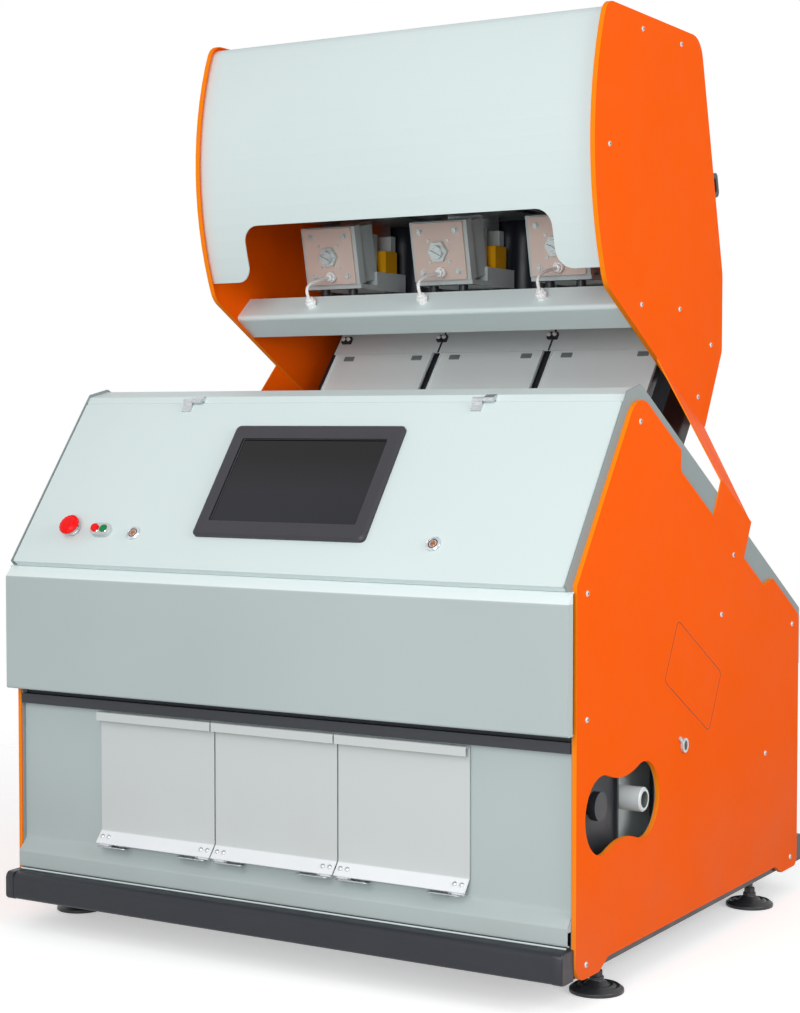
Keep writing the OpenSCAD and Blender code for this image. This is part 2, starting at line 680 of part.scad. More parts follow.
// Small bow handle on the rear cover
handle_x = hood_half - 30;
handle_w = 16;
handle_d = 78;
handle_z = 1811;
handle_dir = unit(rear_cover_top - rear_cover_low);
handle_base = rear_cover_low + handle_dir * ((handle_z - rear_cover_low[1]) / handle_dir[1]);
module rear_handle() color(black) from_front() across(handle_x, handle_w)
    translate(handle_base) rotate(atan2(handle_dir[1], handle_dir[0]) - 90) difference() {
        polygon(rounded([[0, -36], [handle_d, -30, 14], [handle_d, 30, 14], [0, 36]]));
        polygon(rounded([[-1, -22], [handle_d - 14, -18, 8], [handle_d - 14, 18, 8], [-1, 22]]));
    }

// Feed hopper: two sloping walls that meet over the trays
tray_z = 1750;
tray_h = 50;
slot_y = [868, 930];
hopper_z = tray_z + tray_h + 12;
module hopper_wall(top_y, low_y, t) {
    polygon(bent([[top_y, hood_top_z - sheet], [low_y, hopper_z + 40], [low_y, hopper_z]], t));
}
module feed_hopper() color(steel) from_front() across(-hood_face, 2 * hood_face) {
    hopper_wall(inlet_y[0] - 10, slot_y[0], -sheet);
    hopper_wall(inlet_y[1] + 10, slot_y[1], sheet);
}

// Bent beam under the feeders
beam_top = [705, 1541];
beam_edge = [642, 1487];
beam_under = [712, 1440];
module feeder_beam() color(pale) from_front() across(-hood_face, 2 * hood_face)
    polygon(bent(rounded_path([beam_top, with_r(beam_edge, 9), beam_under]), sheet));

// Feeder drives: tilted box with a front flange, base, and clamps for the trays' leaf springs
drive_x = -20;
drive_y = 780;
drive_z = 1650;
flange_d = 28;
base_z = drive_z - drive_h / 2 * cos(drive_a) - 10;
block_h = 48;
leaf_t = 3;
leaf_w = 100;
leaf_y = [908, 1002];
clamp_z = 1716;
clamp_d = 40;
base_back = 1026;
module on_drive(lane) {
    translate([lane * pitch + drive_x, drive_y, drive_z]) rotate([drive_a, 0, 0]) children();
}
module feeder_drives() color(grey) from_front() for (lane = lanes) {
    on_drive(lane) {
        translate([-drive_w / 2, 0, -drive_h / 2]) cube([drive_w, flange_d, drive_h]);
        translate([7 - drive_w / 2, flange_d - 1, -drive_h / 2])
            cube([drive_w - 14, drive_d - flange_d, drive_h - 6]);
    }
    translate([lane * pitch + drive_x, 0, base_z]) difference() {
        union() {
            translate([-drive_w / 2, drive_y + 20, 0]) cube([drive_w, base_back - drive_y - 20, 12]);
            translate([-drive_w / 2, drive_y + drive_d, 0])
                cube([drive_w, base_back - drive_y - drive_d, block_h]);
            for (y = leaf_y) translate([-leaf_w / 2 - 8, y - 12, 1])
                cube([leaf_w + 16, 24, clamp_z - base_z - 1]);
        }
        for (y = leaf_y)
            translate([-leaf_w / 2 - gap, y - leaf_t / 2 - tray_stroke - gap, clamp_z - base_z - clamp_d])
                cube([leaf_w + 2 * gap, leaf_t + 2 * tray_stroke + 2 * gap, clamp_d + 1]);
    }
}
module feeder_plates() color(beige) from_front() for (lane = lanes) on_drive(lane)
    back_from(-plate_t, plate_t) pad_shape(plate_w, plate_w, 4);

// Slotted spigot with its hex nut, corner bolts and small screws on each plate
plate_t = 6;
bolt_at = plate_w / 2 - 21;
screw_at = 28;
module stud(x, z, d, h, n) {
    translate([x, -plate_t, z]) rotate([90, 0, 0]) cylinder(d = d, h = h, $fn = n);
}
module feeder_fasteners() color(steel) from_front() for (lane = lanes) on_drive(lane) {
    difference() {
        union() {
            stud(0, 0, 56, 12, 6);
            stud(0, 0, 34, 22, 32);
        }
        rotate([0, 30, 0]) translate([-18, -plate_t - 23, -2]) cube([36, 6, 4]);
    }
    for (x = [-1, 1], z = [-1, 1]) {
        stud(x * bolt_at, z * bolt_at, 16, 2, 24);
        stud(x * bolt_at, z * bolt_at, 12, 7, 6);
        stud(x * screw_at, z * screw_at, 8, 3, 24);
    }
}

// Yellow magnet blocks on the drive bases
magnet_w = 60;
magnet_h = 58;
magnet_in = 18;
module magnet_blocks() color(amber) from_front() for (lane = lanes)
    translate([lane * pitch + drive_x + drive_w / 2 - 2 - magnet_w, leaf_y[0] + magnet_in,
        base_z + block_h])
        cube([magnet_w, leaf_y[1] - leaf_y[0] - 2 * magnet_in, magnet_h]);

// Two rails between the hood's panels, with rubber mounts under the drives
mount_h = 26;
mount_d = 24;
mount_y = [drive_y + 44, base_back - 22];
feeder_rail = [44, 35];
mount_x = 43;
module feeder_rails() color(black) from_front() {
    for (lane = lanes, x = [-mount_x, mount_x], y = mount_y)
        translate([lane * pitch + drive_x + x, y, base_z - mount_h]) cylinder(d = mount_d, h = mount_h);
    for (y = mount_y) translate([-hood_face, y - feeder_rail[0] / 2, base_z - mount_h - feeder_rail[1]])
        cube([2 * hood_face, feeder_rail[0], feeder_rail[1]]);
}

// Vibrating trays on leaf springs
tray_y = [846, 1150];
tray_w = chute_w - 6;
module feeder_tray(lane) color(steel) from_front() {
    translate([lane * pitch - tray_w / 2, tray_y[0], tray_z]) difference() {
        cube([tray_w, tray_y[1] - tray_y[0], tray_h]);
        translate([sheet, sheet, sheet]) cube([tray_w - 2 * sheet, tray_y[1] - tray_y[0], tray_h]);
    }
    for (y = leaf_y)
        translate([lane * pitch + drive_x - leaf_w / 2, y - leaf_t / 2, clamp_z - clamp_d + gap])
            cube([leaf_w, leaf_t, tray_z - clamp_z + clamp_d]);
}
module feeder_tray_1() feeder_tray(-1);
module feeder_tray_2() feeder_tray(0);
module feeder_tray_3() feeder_tray(1);

// Cable glands on the plates and on the beam, and the short cables between them
gland_l = 22;
gland_at = [5, -bolt_at];
beam_gland_x = 12;
cable_d = 8;
beam_a = atan2(beam_top[1] - beam_edge[1], beam_top[0] - beam_edge[0]);
beam_seat = (beam_top * 0.52 + beam_edge * 0.48);
module gland() {
    cylinder(d = 24, h = 7, $fn = 6);
    cylinder(d = 18, h = 14);
    translate([0, 0, 12]) cylinder(d1 = 20, d2 = 13, h = gland_l - 12);
}
module cable_glands() color("white") from_front() for (lane = lanes) {
    on_drive(lane) translate([gland_at[0], -plate_t, gland_at[1]]) rotate([90, 0, 0]) gland();
    translate([lane * pitch + drive_x + beam_gland_x, beam_seat[0], beam_seat[1]])
        rotate([beam_a, 0, 0]) gland();
}
function drive_pt(y, z) =
    [drive_y + y * cos(drive_a) - z * sin(drive_a), drive_z + y * sin(drive_a) + z * cos(drive_a)];
function bezier(p, t) =
    p[0] * pow(1 - t, 3) + 3 * p[1] * t * pow(1 - t, 2) + 3 * p[2] * t * t * (1 - t) + p[3] * pow(t, 3);
function at_x(x, p) = [x, p[0], p[1]];
cable_pts = [
    at_x(gland_at[0], drive_pt(-plate_t - gland_l, gland_at[1])),
    at_x(gland_at[0], drive_pt(-plate_t - gland_l - 75, gland_at[1])),
    at_x(beam_gland_x, beam_seat + (gland_l + 52) * [-sin(beam_a), cos(beam_a)]),
    at_x(beam_gland_x, beam_seat + gland_l * [-sin(beam_a), cos(beam_a)])];
cable_rings = 14;
cable_sides = 10;
module feeder_cables() color("white") from_front() {
    path = [for (i = [0:cable_rings]) bezier(cable_pts, i / cable_rings)];
    last = len(path) - 1;
    ring = [for (i = [0:last]) let (
        from = i == 0 ? path[0] : i == last ? cable_pts[2] : path[i - 1],
        to = i == 0 ? cable_pts[1] : i == last ? path[last] : path[i + 1],
        t = unit(to - from), e = unit(cross(t, [1, 0, 0])))
        each [for (j = [0:cable_sides - 1]) let (a = 360 * j / cable_sides)
            path[i] + cable_d / 2 * (cos(a) * cross(e, t) + sin(a) * e)]];
    faces = concat(
        [[for (j = [0:cable_sides - 1]) j]],
        [[for (j = [cable_sides - 1:-1:0]) last * cable_sides + j]],
        [for (i = [0:last - 1], j = [0:cable_sides - 1])
            let (k = (j + 1) % cable_sides, b = i * cable_sides)
            [b + j, b + cable_sides + j, b + cable_sides + k, b + k]]);
    for (lane = lanes) translate([lane * pitch + drive_x, 0, 0]) polyhedron(ring, faces);
}

// Chutes: s runs up the slope, h stands off its face
chute_at = [934, 1291];
chute_s0 = -650;
chute_s1 = 385;
cover_s = [-560, 140, 330];
strip = 2.5;
module on_chute(x, s, h) {
    translate([x, chute_at[0], chute_at[1]]) rotate([chute_a, 0, 0]) translate([0, s, h]) children();
}
module chutes() color(steel) from_front() for (lane = lanes)
    on_chute(lane * pitch - chute_w / 2, chute_s0, -sheet - chute_d) difference() {
        cube([chute_w, chute_s1 - chute_s0, chute_d]);
        translate([sheet, -1, sheet]) cube([chute_w - 2 * sheet, chute_s1 - chute_s0 + 2, chute_d]);
    }

// Lower covers with upstanding edges, upper covers that nearly meet
module chute_covers() color(pale) from_front() for (lane = lanes) {
    on_chute(lane * pitch - chute_w / 2 - 4, cover_s[0], -sheet) difference() {
        cube([chute_w + 8, cover_s[1] - cover_s[0], sheet + 6]);
        translate([strip, -1, sheet]) cube([chute_w + 8 - 2 * strip, cover_s[1] - cover_s[0] + 2, 7]);
    }
    on_chute(lane * pitch - pitch / 2 + 1, cover_s[1] + 2, -sheet)
        cube([pitch - 2, cover_s[2] - cover_s[1] - 2, sheet]);
}

// Clamp clips with two screws over the covers' joints, and small tabs by their crease
clip_s = 178;
clip = [28, 18, 10];
clip_screw = 8;
crease_tab = [30, 14];
module chute_clip() {
    translate([-clip[0] / 2, 0, 0]) cube(clip);
    for (x = [-clip_screw, clip_screw])
        translate([x, clip[1] / 2, clip[2] - 1]) cylinder(d = 9, h = 6, $fn = 20);
}
module chute_clips() color(black) from_front() {
    for (side = [-1, 1]) {
        on_chute(side * pitch / 2, clip_s, 0) chute_clip();
        on_chute(side * (1.5 * pitch - clip[0]), clip_s, 0) chute_clip();
    }
    for (lane = lanes, side = [-1, 1])
        on_chute(lane * pitch + side * (chute_w / 2 - 42) - crease_tab[0] / 2, cover_s[1] - 24, 0)
            cube([crease_tab[0], crease_tab[1], sheet]);
}

// Black frame under the chutes, its low bar reaching both side walls
frame_h = 40;
frame_x = 1.5 * pitch + 4;
frame_s = [-520, 100, 290];
mid_rail = pitch - chute_w - 4;
module chute_frame() color(black) from_front() {
    low = -sheet - chute_d - frame_h;
    for (side = [-1, 1])
        on_chute(side * (frame_x + 18) - 18, frame_s[0], low) cube([36, cover_s[2] - frame_s[0], frame_h]);
    for (side = [-1, 1]) on_chute(side * pitch / 2 - mid_rail / 2, frame_s[0], low)
        cube([mid_rail, cover_s[2] - frame_s[0], frame_h + chute_d - 8]);
    on_chute(-wall_in, frame_s[0], low) cube([2 * wall_in, 40, frame_h]);
    for (s = [frame_s[1], frame_s[2]])
        on_chute(-frame_x - 1, s, low) cube([2 * frame_x + 2, 40, frame_h]);
}

// Optics boxes either side of the falling stream, and the ejector bar with its valves
optics_front = [[150, 700], [395, 650], [440, 705], [395, 850], [150, 850]];
optics_rear = [[570, 610], [800, 560], [800, 720], [630, 735]];
ejector = [[455, 560], [505, 560], [505, 615], [470, 628]];
module optics_boxes() color(black) from_front()
    for (pts = [optics_front, optics_rear]) across(-wall_in, 2 * wall_in) difference() {
        polygon(pts);
        polygon(inset(pts, sheet));
    }
module ejector_bar() color(steel) from_front() {
    across(-wall_in, 2 * wall_in) polygon(ejector);
    for (lane = lanes)
        translate([lane * pitch - chute_w / 2 + 10, ejector[1][0] - 1, ejector[1][1] + 8])
            cube([chute_w - 20, 41, 36]);
}

// Sheets inside the lower cabinet: accept and reject hoppers, sample tray and the side bays' bulkheads
hopper_half = 520;
hopper_top = 540;
rail_top = rail_z + rail_h;
hopper_y = [120, 470, 760];
hopper_low = [250, 480, 700];
bulk_x = half_w - 138;
bulk_y = 40;
bulk_top = 550;
pipe_y = hole_y + lobe_span;
module hopper_end() {
    polygon([[hopper_y[0], hopper_top], [hopper_low[0], rail_top], [hopper_low[2], rail_top],
        [hopper_y[2], hopper_top]]);
}
module outlet_sheets() color(steel) from_front() {
    for (x = [-hopper_half, hopper_half - sheet]) across(x, sheet) hopper_end();
    for (k = [0, 1, 2]) let (lean = k == 2 ? -sheet : sheet)
        across(1 - hopper_half, 2 * hopper_half - 2) polygon([
            [hopper_y[k], hopper_top], [hopper_low[k], rail_top],
            [hopper_low[k] + lean, rail_top], [hopper_y[k] + lean, hopper_top]]);
    across(-hopper_half, 2 * hopper_half)
        polygon(bent([[lower_in + sheet, bay_z0 - 5], [lower_in + 160, bay_z0 + 49]], -sheet));
    for (side = [-1, 1]) difference() {
        translate([side * bulk_x - sheet / 2, bulk_y, rail_top])
            cube([sheet, mid_y - 20, bulk_top - rail_top]);
        if (side > 0) translate([bulk_x - 5, pipe_y, hole_z]) rotate([0, 90, 0])
            cylinder(d = pipe_d + 2 * run_gap, h = 10);
    }
}

// Air pipe through a bulkhead, and the bracket with a round regulator beside it
pipe_end = half_w - bulk_x + 14;
bracket_x = half_w - 60;
bracket_y = [100, pipe_y - pipe_d / 2 - 3];
bracket_h = 380;
bracket_d = 14;
bracket_web = 6;
bracket_flange = 8;
dial_at = [hole_y + 38, hole_z + 10];
dial_d = [40, 62];
dial_h = [16, 18];
module air_pipe() color(grey) from_front() translate([bulk_x - 12, pipe_y, hole_z]) rotate([0, 90, 0])
    rotate_extrude() polygon([
        [pipe_bore / 2, 0], [pipe_d / 2, 0], [pipe_d / 2, pipe_end - 3], [pipe_d / 2 - 3, pipe_end],
        [pipe_bore / 2, pipe_end]]);
module pipe_bracket() color(black) from_front() {
    translate([bracket_x, bracket_y[0], rail_top]) difference() {
        cube([bracket_d, bracket_y[1] - bracket_y[0], bracket_h]);
        translate([bracket_web, bracket_flange, -1])
            cube([bracket_d, bracket_y[1] - bracket_y[0] - 2 * bracket_flange, bracket_h + 2]);
    }
    translate([bracket_x + bracket_web - 1, dial_at[0], dial_at[1]]) rotate([0, 90, 0]) {
        cylinder(d = dial_d[0], h = dial_h[0]);
        translate([0, 0, dial_h[0] - 1]) cylinder(d = dial_d[1], h = dial_h[1]);
    }
}

// Screws of the covers and of the hood
mark_in = 48;
mark_low = plinth_z + 29.5;
cover_marks = [
    [mark_in, mark_low], [mark_in, front_z + 26], [mark_in, knee_z - 19], ridge + [10, -68],
    [cover_d - mark_in - 2, back_z - 20], [cover_d - mark_in - 2, mark_low], [776, 761], [1071, 389]];
hood_marks = [
    [730, 2145], [959, 2145], [730, 1495], [959, 1495], [548, 1854], [1161, 1413], [1078, 1279]];
module side_screw(x, at) {
    translate([x, at[0], at[1]]) rotate([0, sign(x) * 90, 0]) cylinder(d1 = 13, d2 = 9, h = 2.5, $fn = 18);
}
module panel_screws() color(steel) from_front() for (side = [-1, 1]) {
    for (at = cover_marks) side_screw(side * half_w, at);
    for (at = hood_marks) side_screw(side * hood_half, at);
}

// Named sub-parts, drawn one at a time or all together

base_frame();
foot_front_left();
foot_front_right();
foot_rear_left();
foot_rear_right();
bumpers();
left_side_wall();
right_side_wall();
left_side_cover();
right_side_cover();
side_hatch();
side_latch();
front_panel();
shadow_channel();
lower_front();
sample_door_1();
sample_door_2();
sample_door_3();
top_strip();
console_panel();
console_hinge_leaves();
hinge_bases();
screen_bezel();
screen_glass();
button_housings();
estop_head();
stop_button();
start_button();
lock_left();
lock_right();
rear_panel();
rear_slope();
hood_right_panel();
hood_left_panel();
hood_front_cover();
hood_top();
hood_rear_cover();
rear_handle();
feed_hopper();
feeder_beam();
feeder_drives();
feeder_plates();
feeder_fasteners();
magnet_blocks();
feeder_rails();
feeder_tray_1();
feeder_tray_2();
feeder_tray_3();
cable_glands();
feeder_cables();
chutes();
chute_covers();
chute_clips();
chute_frame();
optics_boxes();
ejector_bar();
outlet_sheets();
air_pipe();
pipe_bracket();
panel_screws();
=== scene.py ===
import json
import math

import bmesh
import bpy
import numpy as np
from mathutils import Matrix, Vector


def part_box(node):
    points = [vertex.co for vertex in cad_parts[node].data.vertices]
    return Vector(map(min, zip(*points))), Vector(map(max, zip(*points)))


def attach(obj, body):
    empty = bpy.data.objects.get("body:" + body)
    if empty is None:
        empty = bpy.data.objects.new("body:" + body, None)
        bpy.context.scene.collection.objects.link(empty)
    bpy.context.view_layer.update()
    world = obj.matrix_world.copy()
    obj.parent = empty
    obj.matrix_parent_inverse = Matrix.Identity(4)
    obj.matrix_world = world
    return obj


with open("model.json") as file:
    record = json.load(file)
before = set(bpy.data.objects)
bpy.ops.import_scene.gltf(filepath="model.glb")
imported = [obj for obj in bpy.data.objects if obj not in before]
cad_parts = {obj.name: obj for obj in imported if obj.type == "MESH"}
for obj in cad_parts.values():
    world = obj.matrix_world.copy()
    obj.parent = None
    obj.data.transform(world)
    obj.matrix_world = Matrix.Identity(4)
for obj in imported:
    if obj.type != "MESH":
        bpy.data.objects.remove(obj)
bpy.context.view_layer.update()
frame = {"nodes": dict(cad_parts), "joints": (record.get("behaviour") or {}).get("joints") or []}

nodes = frame["nodes"]
print("frame loaded:", len(nodes), "nodes")

# camera solved from the cabinet's edges, image 800 x 1013
shot = {
    "place": (2.5455, -4.3375, 1.2195),
    "yaw": 31.024,      # degrees, to the left of +Y
    "pitch": 2.448,     # degrees, down
    "lens": 71.55,
    "sensor": 36.0,     # mm over the image's height
}


def placeCamera(v):
    data = bpy.data.cameras.new("camera")
    data.sensor_fit = "VERTICAL"
    data.sensor_height = v["sensor"]
    data.lens = v["lens"]
    data.clip_end = 60.0
    cam = bpy.data.objects.new("camera", data)
    cam.location = v["place"]
    yaw, pitch = math.radians(v["yaw"]), math.radians(v["pitch"])
    level = math.cos(pitch)
    gaze = Vector((-math.sin(yaw) * level, math.cos(yaw) * level, -math.sin(pitch)))
    cam.rotation_euler = gaze.to_track_quat("-Z", "Y").to_euler()
    bpy.context.scene.collection.objects.link(cam)
    bpy.context.scene.camera = cam


placeCamera(shot)
print("camera placed")


def srgb(text):
    # hex colour to linear light, by the sRGB curve
    c = np.array([int(text[i:i + 2], 16) for i in (1, 3, 5)]) / 255.0
    lin = np.where(c <= 0.04045, c / 12.92, ((c + 0.055) / 1.055) ** 2.4)
    return tuple(float(x) for x in lin) + (1.0,)


def shade(colour, factor):
    return tuple(min(1.0, x * factor) for x in colour[:3]) + (1.0,)


class Recipe:
    # one material and the few node moves that the finishes share
    def __init__(self, name):
        self.mat = bpy.data.materials.new(name)
        self.mat.use_nodes = True
        self.tree = self.mat.node_tree
        self.bsdf = self.tree.nodes["Principled BSDF"]
        self.where = self.tree.nodes.new("ShaderNodeTexCoord").outputs["Object"]

    def join(self, a, b):
        self.tree.links.new(a, b)

    def noise(self, scale, detail=3.0, stretch=None):
        vec = self.where
        if stretch:
            m = self.tree.nodes.new("ShaderNodeMapping")
            m.inputs["Scale"].default_value = stretch
            self.join(vec, m.inputs["Vector"])
            vec = m.outputs["Vector"]
        n = self.tree.nodes.new("ShaderNodeTexNoise")
        n.inputs["Scale"].default_value = scale
        n.inputs["Detail"].default_value = detail
        self.join(vec, n.inputs["Vector"])
        return n.outputs["Fac"]

    def span(self, value, low, high, start=0.3, end=0.7):
        n = self.tree.nodes.new("ShaderNodeMapRange")
        for key, v in (("From Min", start), ("From Max", end), ("To Min", low), ("To Max", high)):
            n.inputs[key].default_value = v
        self.join(value, n.inputs["Value"])
        return n.outputs["Result"]

    def times(self, a, b):
        n = self.tree.nodes.new("ShaderNodeMath")
        n.operation = "MULTIPLY"
        self.join(a, n.inputs[0])
        self.join(b, n.inputs[1])
        return n.outputs[0]

    def blend(self, factor, a, b):
        # a and b are colours or sockets; 6, 7 and out 2 are the Mix node's colour sockets
        n = self.tree.nodes.new("ShaderNodeMix")
        n.data_type = "RGBA"
        self.join(factor, n.inputs["Factor"])
        for key, v in ((6, a), (7, b)):
            if isinstance(v, tuple):
                n.inputs[key].default_value = v
            else:
                self.join(v, n.inputs[key])
        return n.outputs[2]

    def axis(self, letter):
        n = self.tree.nodes.new("ShaderNodeSeparateXYZ")
        self.join(self.where, n.inputs[0])
        return n.outputs[letter]

    def facing(self, letter):
        # how far a face looks along one of the object's axes, either way
        normal = self.where.node.outputs["Normal"]
        n = self.tree.nodes.new("ShaderNodeSeparateXYZ")
        self.join(normal, n.inputs[0])
        size = self.tree.nodes.new("ShaderNodeMath")
        size.operation = "ABSOLUTE"
        self.join(n.outputs[letter], size.inputs[0])
        return size.outputs[0]

    def bump(self, height, strength, distance):
        n = self.tree.nodes.new("ShaderNodeBump")
        n.inputs["Strength"].default_value = strength
        n.inputs["Distance"].default_value = distance
        self.join(height, n.inputs["Height"])
        self.join(n.outputs["Normal"], self.bsdf.inputs["Normal"])

    def colour(self, v):
        self.join(v, self.bsdf.inputs["Base Color"])

    def rough(self, v):
        self.join(v, self.bsdf.inputs["Roughness"])

    def fixed(self, **values):
        for key, v in values.items():
            self.bsdf.inputs[key.replace("_", " ").title().replace("Ior", "IOR")].default_value = v


dust = {"tone": "#8F877A", "share": 0.16, "heights": (0.05, 0.42)}   # solid below, gone above
peel = {"scale": 380.0, "strength": 0.10, "depth": 0.0004}           # the paint's orange peel
# painted highlight: faces that don't look along X, the sheets' edges, get a lighter tone as if lit
edgeHighlightSpan = (0.35, 0.65)    # a face's share along X: an edge below the first, a flat above the second


def powderCoat(name, tone, rough, mottle=0.035, gloss=0.5, above=None, edge=None):
    # baked paint: broad clouds in the tone, orange peel in the bump, a little dust low down;
    # above is a second tone and the height from which it is used: a second paint on the doors, a
    # painted highlight on the front panel's lip; edge is a painted highlight, a lighter tone on
    # faces that don't look along X, the edges of the side sheets and their openings
    r = Recipe(name)
    base = srgb(tone)
    drift = r.span(r.noise(1.6, 2.0), 0.0, 1.0)
    clouds = r.blend(drift, shade(base, 1 - mottle), shade(base, 1 + mottle))
    # above a height: a second paint on the doors, a painted highlight on the front panel's lip
    if above:
        high = r.span(r.axis("Z"), 0.0, 1.0, above[1] - 0.001, above[1] + 0.001)
        clouds = r.blend(high, clouds, srgb(above[0]))
    # painted highlight: the edge faces are blended to the lighter edge tone
    if edge:
        clouds = r.blend(r.span(r.facing("X"), 1.0, 0.0, *edgeHighlightSpan), clouds, srgb(edge))
    low = r.span(r.axis("Z"), dust["share"], 0.0, *dust["heights"])
    patch = r.span(r.noise(5.0, 5.0), 0.2, 1.0)
    r.colour(r.blend(r.times(low, patch), clouds, srgb(dust["tone"])))
    r.rough(r.span(r.noise(11.0, 4.0), rough - 0.05, rough + 0.06))
    r.bump(r.noise(peel["scale"], 2.0), peel["strength"], peel["depth"])
    r.fixed(specular_ior_level=gloss)
    return r.mat


def brushedMetal(name, tone, rough, stretch=(3.0, 260.0, 260.0), metal=1.0):
    # bare metal: fine streaks along one axis in the tone, roughness and bump
    r = Recipe(name)
    base = srgb(tone)
    streaks = r.noise(1.0, 4.0, stretch)
    r.colour(r.blend(r.span(streaks, 0.0, 1.0), shade(base, 0.86), shade(base, 1.08)))
    r.rough(r.span(streaks, rough - 0.08, rough + 0.10))
    r.bump(streaks, 0.12, 0.0003)
    r.fixed(metallic=metal)
    return r.mat


def mouldedPlastic(name, tone, rough, grain=900.0, depth=0.14, gloss=0.5):
    # moulded plastic or rubber: fine grain and a slow drift of the tone
    r = Recipe(name)
    base = srgb(tone)
    r.colour(r.blend(r.span(r.noise(7.0, 3.0), 0.0, 1.0), shade(base, 0.92), shade(base, 1.10)))
    r.rough(r.span(r.noise(30.0, 3.0), rough - 0.06, rough + 0.07))
    r.bump(r.noise(grain, 2.0), depth, 0.0003)
    r.fixed(specular_ior_level=gloss)
    return r.mat


def screenGlass(name, low, high, zLow, zHigh):
    # dark panel glass with a painted reflection: blacker towards its top, with faint wiping marks in its
    # gloss
    r = Recipe(name)
    base = srgb(low)
    drift = r.blend(r.span(r.noise(3.0, 2.0), 0.0, 1.0), shade(base, 0.85), shade(base, 1.15))
    # painted reflection: the tone darkens between the two heights
    r.colour(r.blend(r.span(r.axis("Z"), 0.0, 1.0, zLow, zHigh), drift, srgb(high)))
    r.rough(r.span(r.noise(6.0, 5.0, (1.0, 3.0, 3.0)), 0.05, 0.14))
    r.fixed(specular_ior_level=0.3)
    return r.mat


def clipPlastic(name, upper, lower, level):
    # black clamps above the level, grey tabs below it
    r = Recipe(name)
    above = r.span(r.axis("Z"), 0.0, 1.0, level - 0.002, level + 0.002)
    grain = r.span(r.noise(40.0, 3.0), 0.0, 1.0)
    dark = r.blend(grain, shade(srgb(upper), 0.9), shade(srgb(upper), 1.1))
    grey = r.blend(grain, shade(srgb(lower), 0.95), shade(srgb(lower), 1.05))
    r.colour(r.blend(above, grey, dark))
    r.rough(r.span(r.noise(30.0, 3.0), 0.36, 0.48))
    return r.mat


def pipePlasticBoreShade(name, tone, bore, at, radius):
    # moulded grey outside, with painted shade in the bore: dark where the bore's wall is within the
    # radius of the axis along X
    r = Recipe(name)
    place = r.tree.nodes.new("ShaderNodeMapping")
    place.inputs["Location"].default_value = (0.0, -at[0], -at[1])
    place.inputs["Scale"].default_value = (0.0, 1.0, 1.0)
    r.join(r.where, place.inputs["Vector"])
    away = r.tree.nodes.new("ShaderNodeVectorMath")
    away.operation = "LENGTH"
    r.join(place.outputs["Vector"], away.inputs[0])
    base = srgb(tone)
    grain = r.blend(r.span(r.noise(9.0, 3.0), 0.0, 1.0), shade(base, 0.94), shade(base, 1.06))
    # painted shade: the bore's wall is blended to the dark tone
    inside = r.span(away.outputs["Value"], 1.0, 0.0, radius - 0.0002, radius + 0.0006)
    r.colour(r.blend(inside, grain, srgb(bore)))
    r.rough(r.span(r.noise(30.0, 3.0), 0.28, 0.40))
    return r.mat


# heights at which a coat changes, the lip's painted highlight and the screen's painted reflection among
# them, and the pipe's axis and bore
levels = {"lip": 0.024, "flap": 0.0345, "screen": (1.06, 1.14), "clip": 1.41, "bore": 0.018}
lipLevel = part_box("front_panel")[1].z - levels["lip"]
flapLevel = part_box("sample_door_1")[0].z + levels["flap"]
pipeAxis = [(a + b) / 2 for a, b in zip(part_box("air_pipe")[0].yz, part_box("air_pipe")[1].yz)]

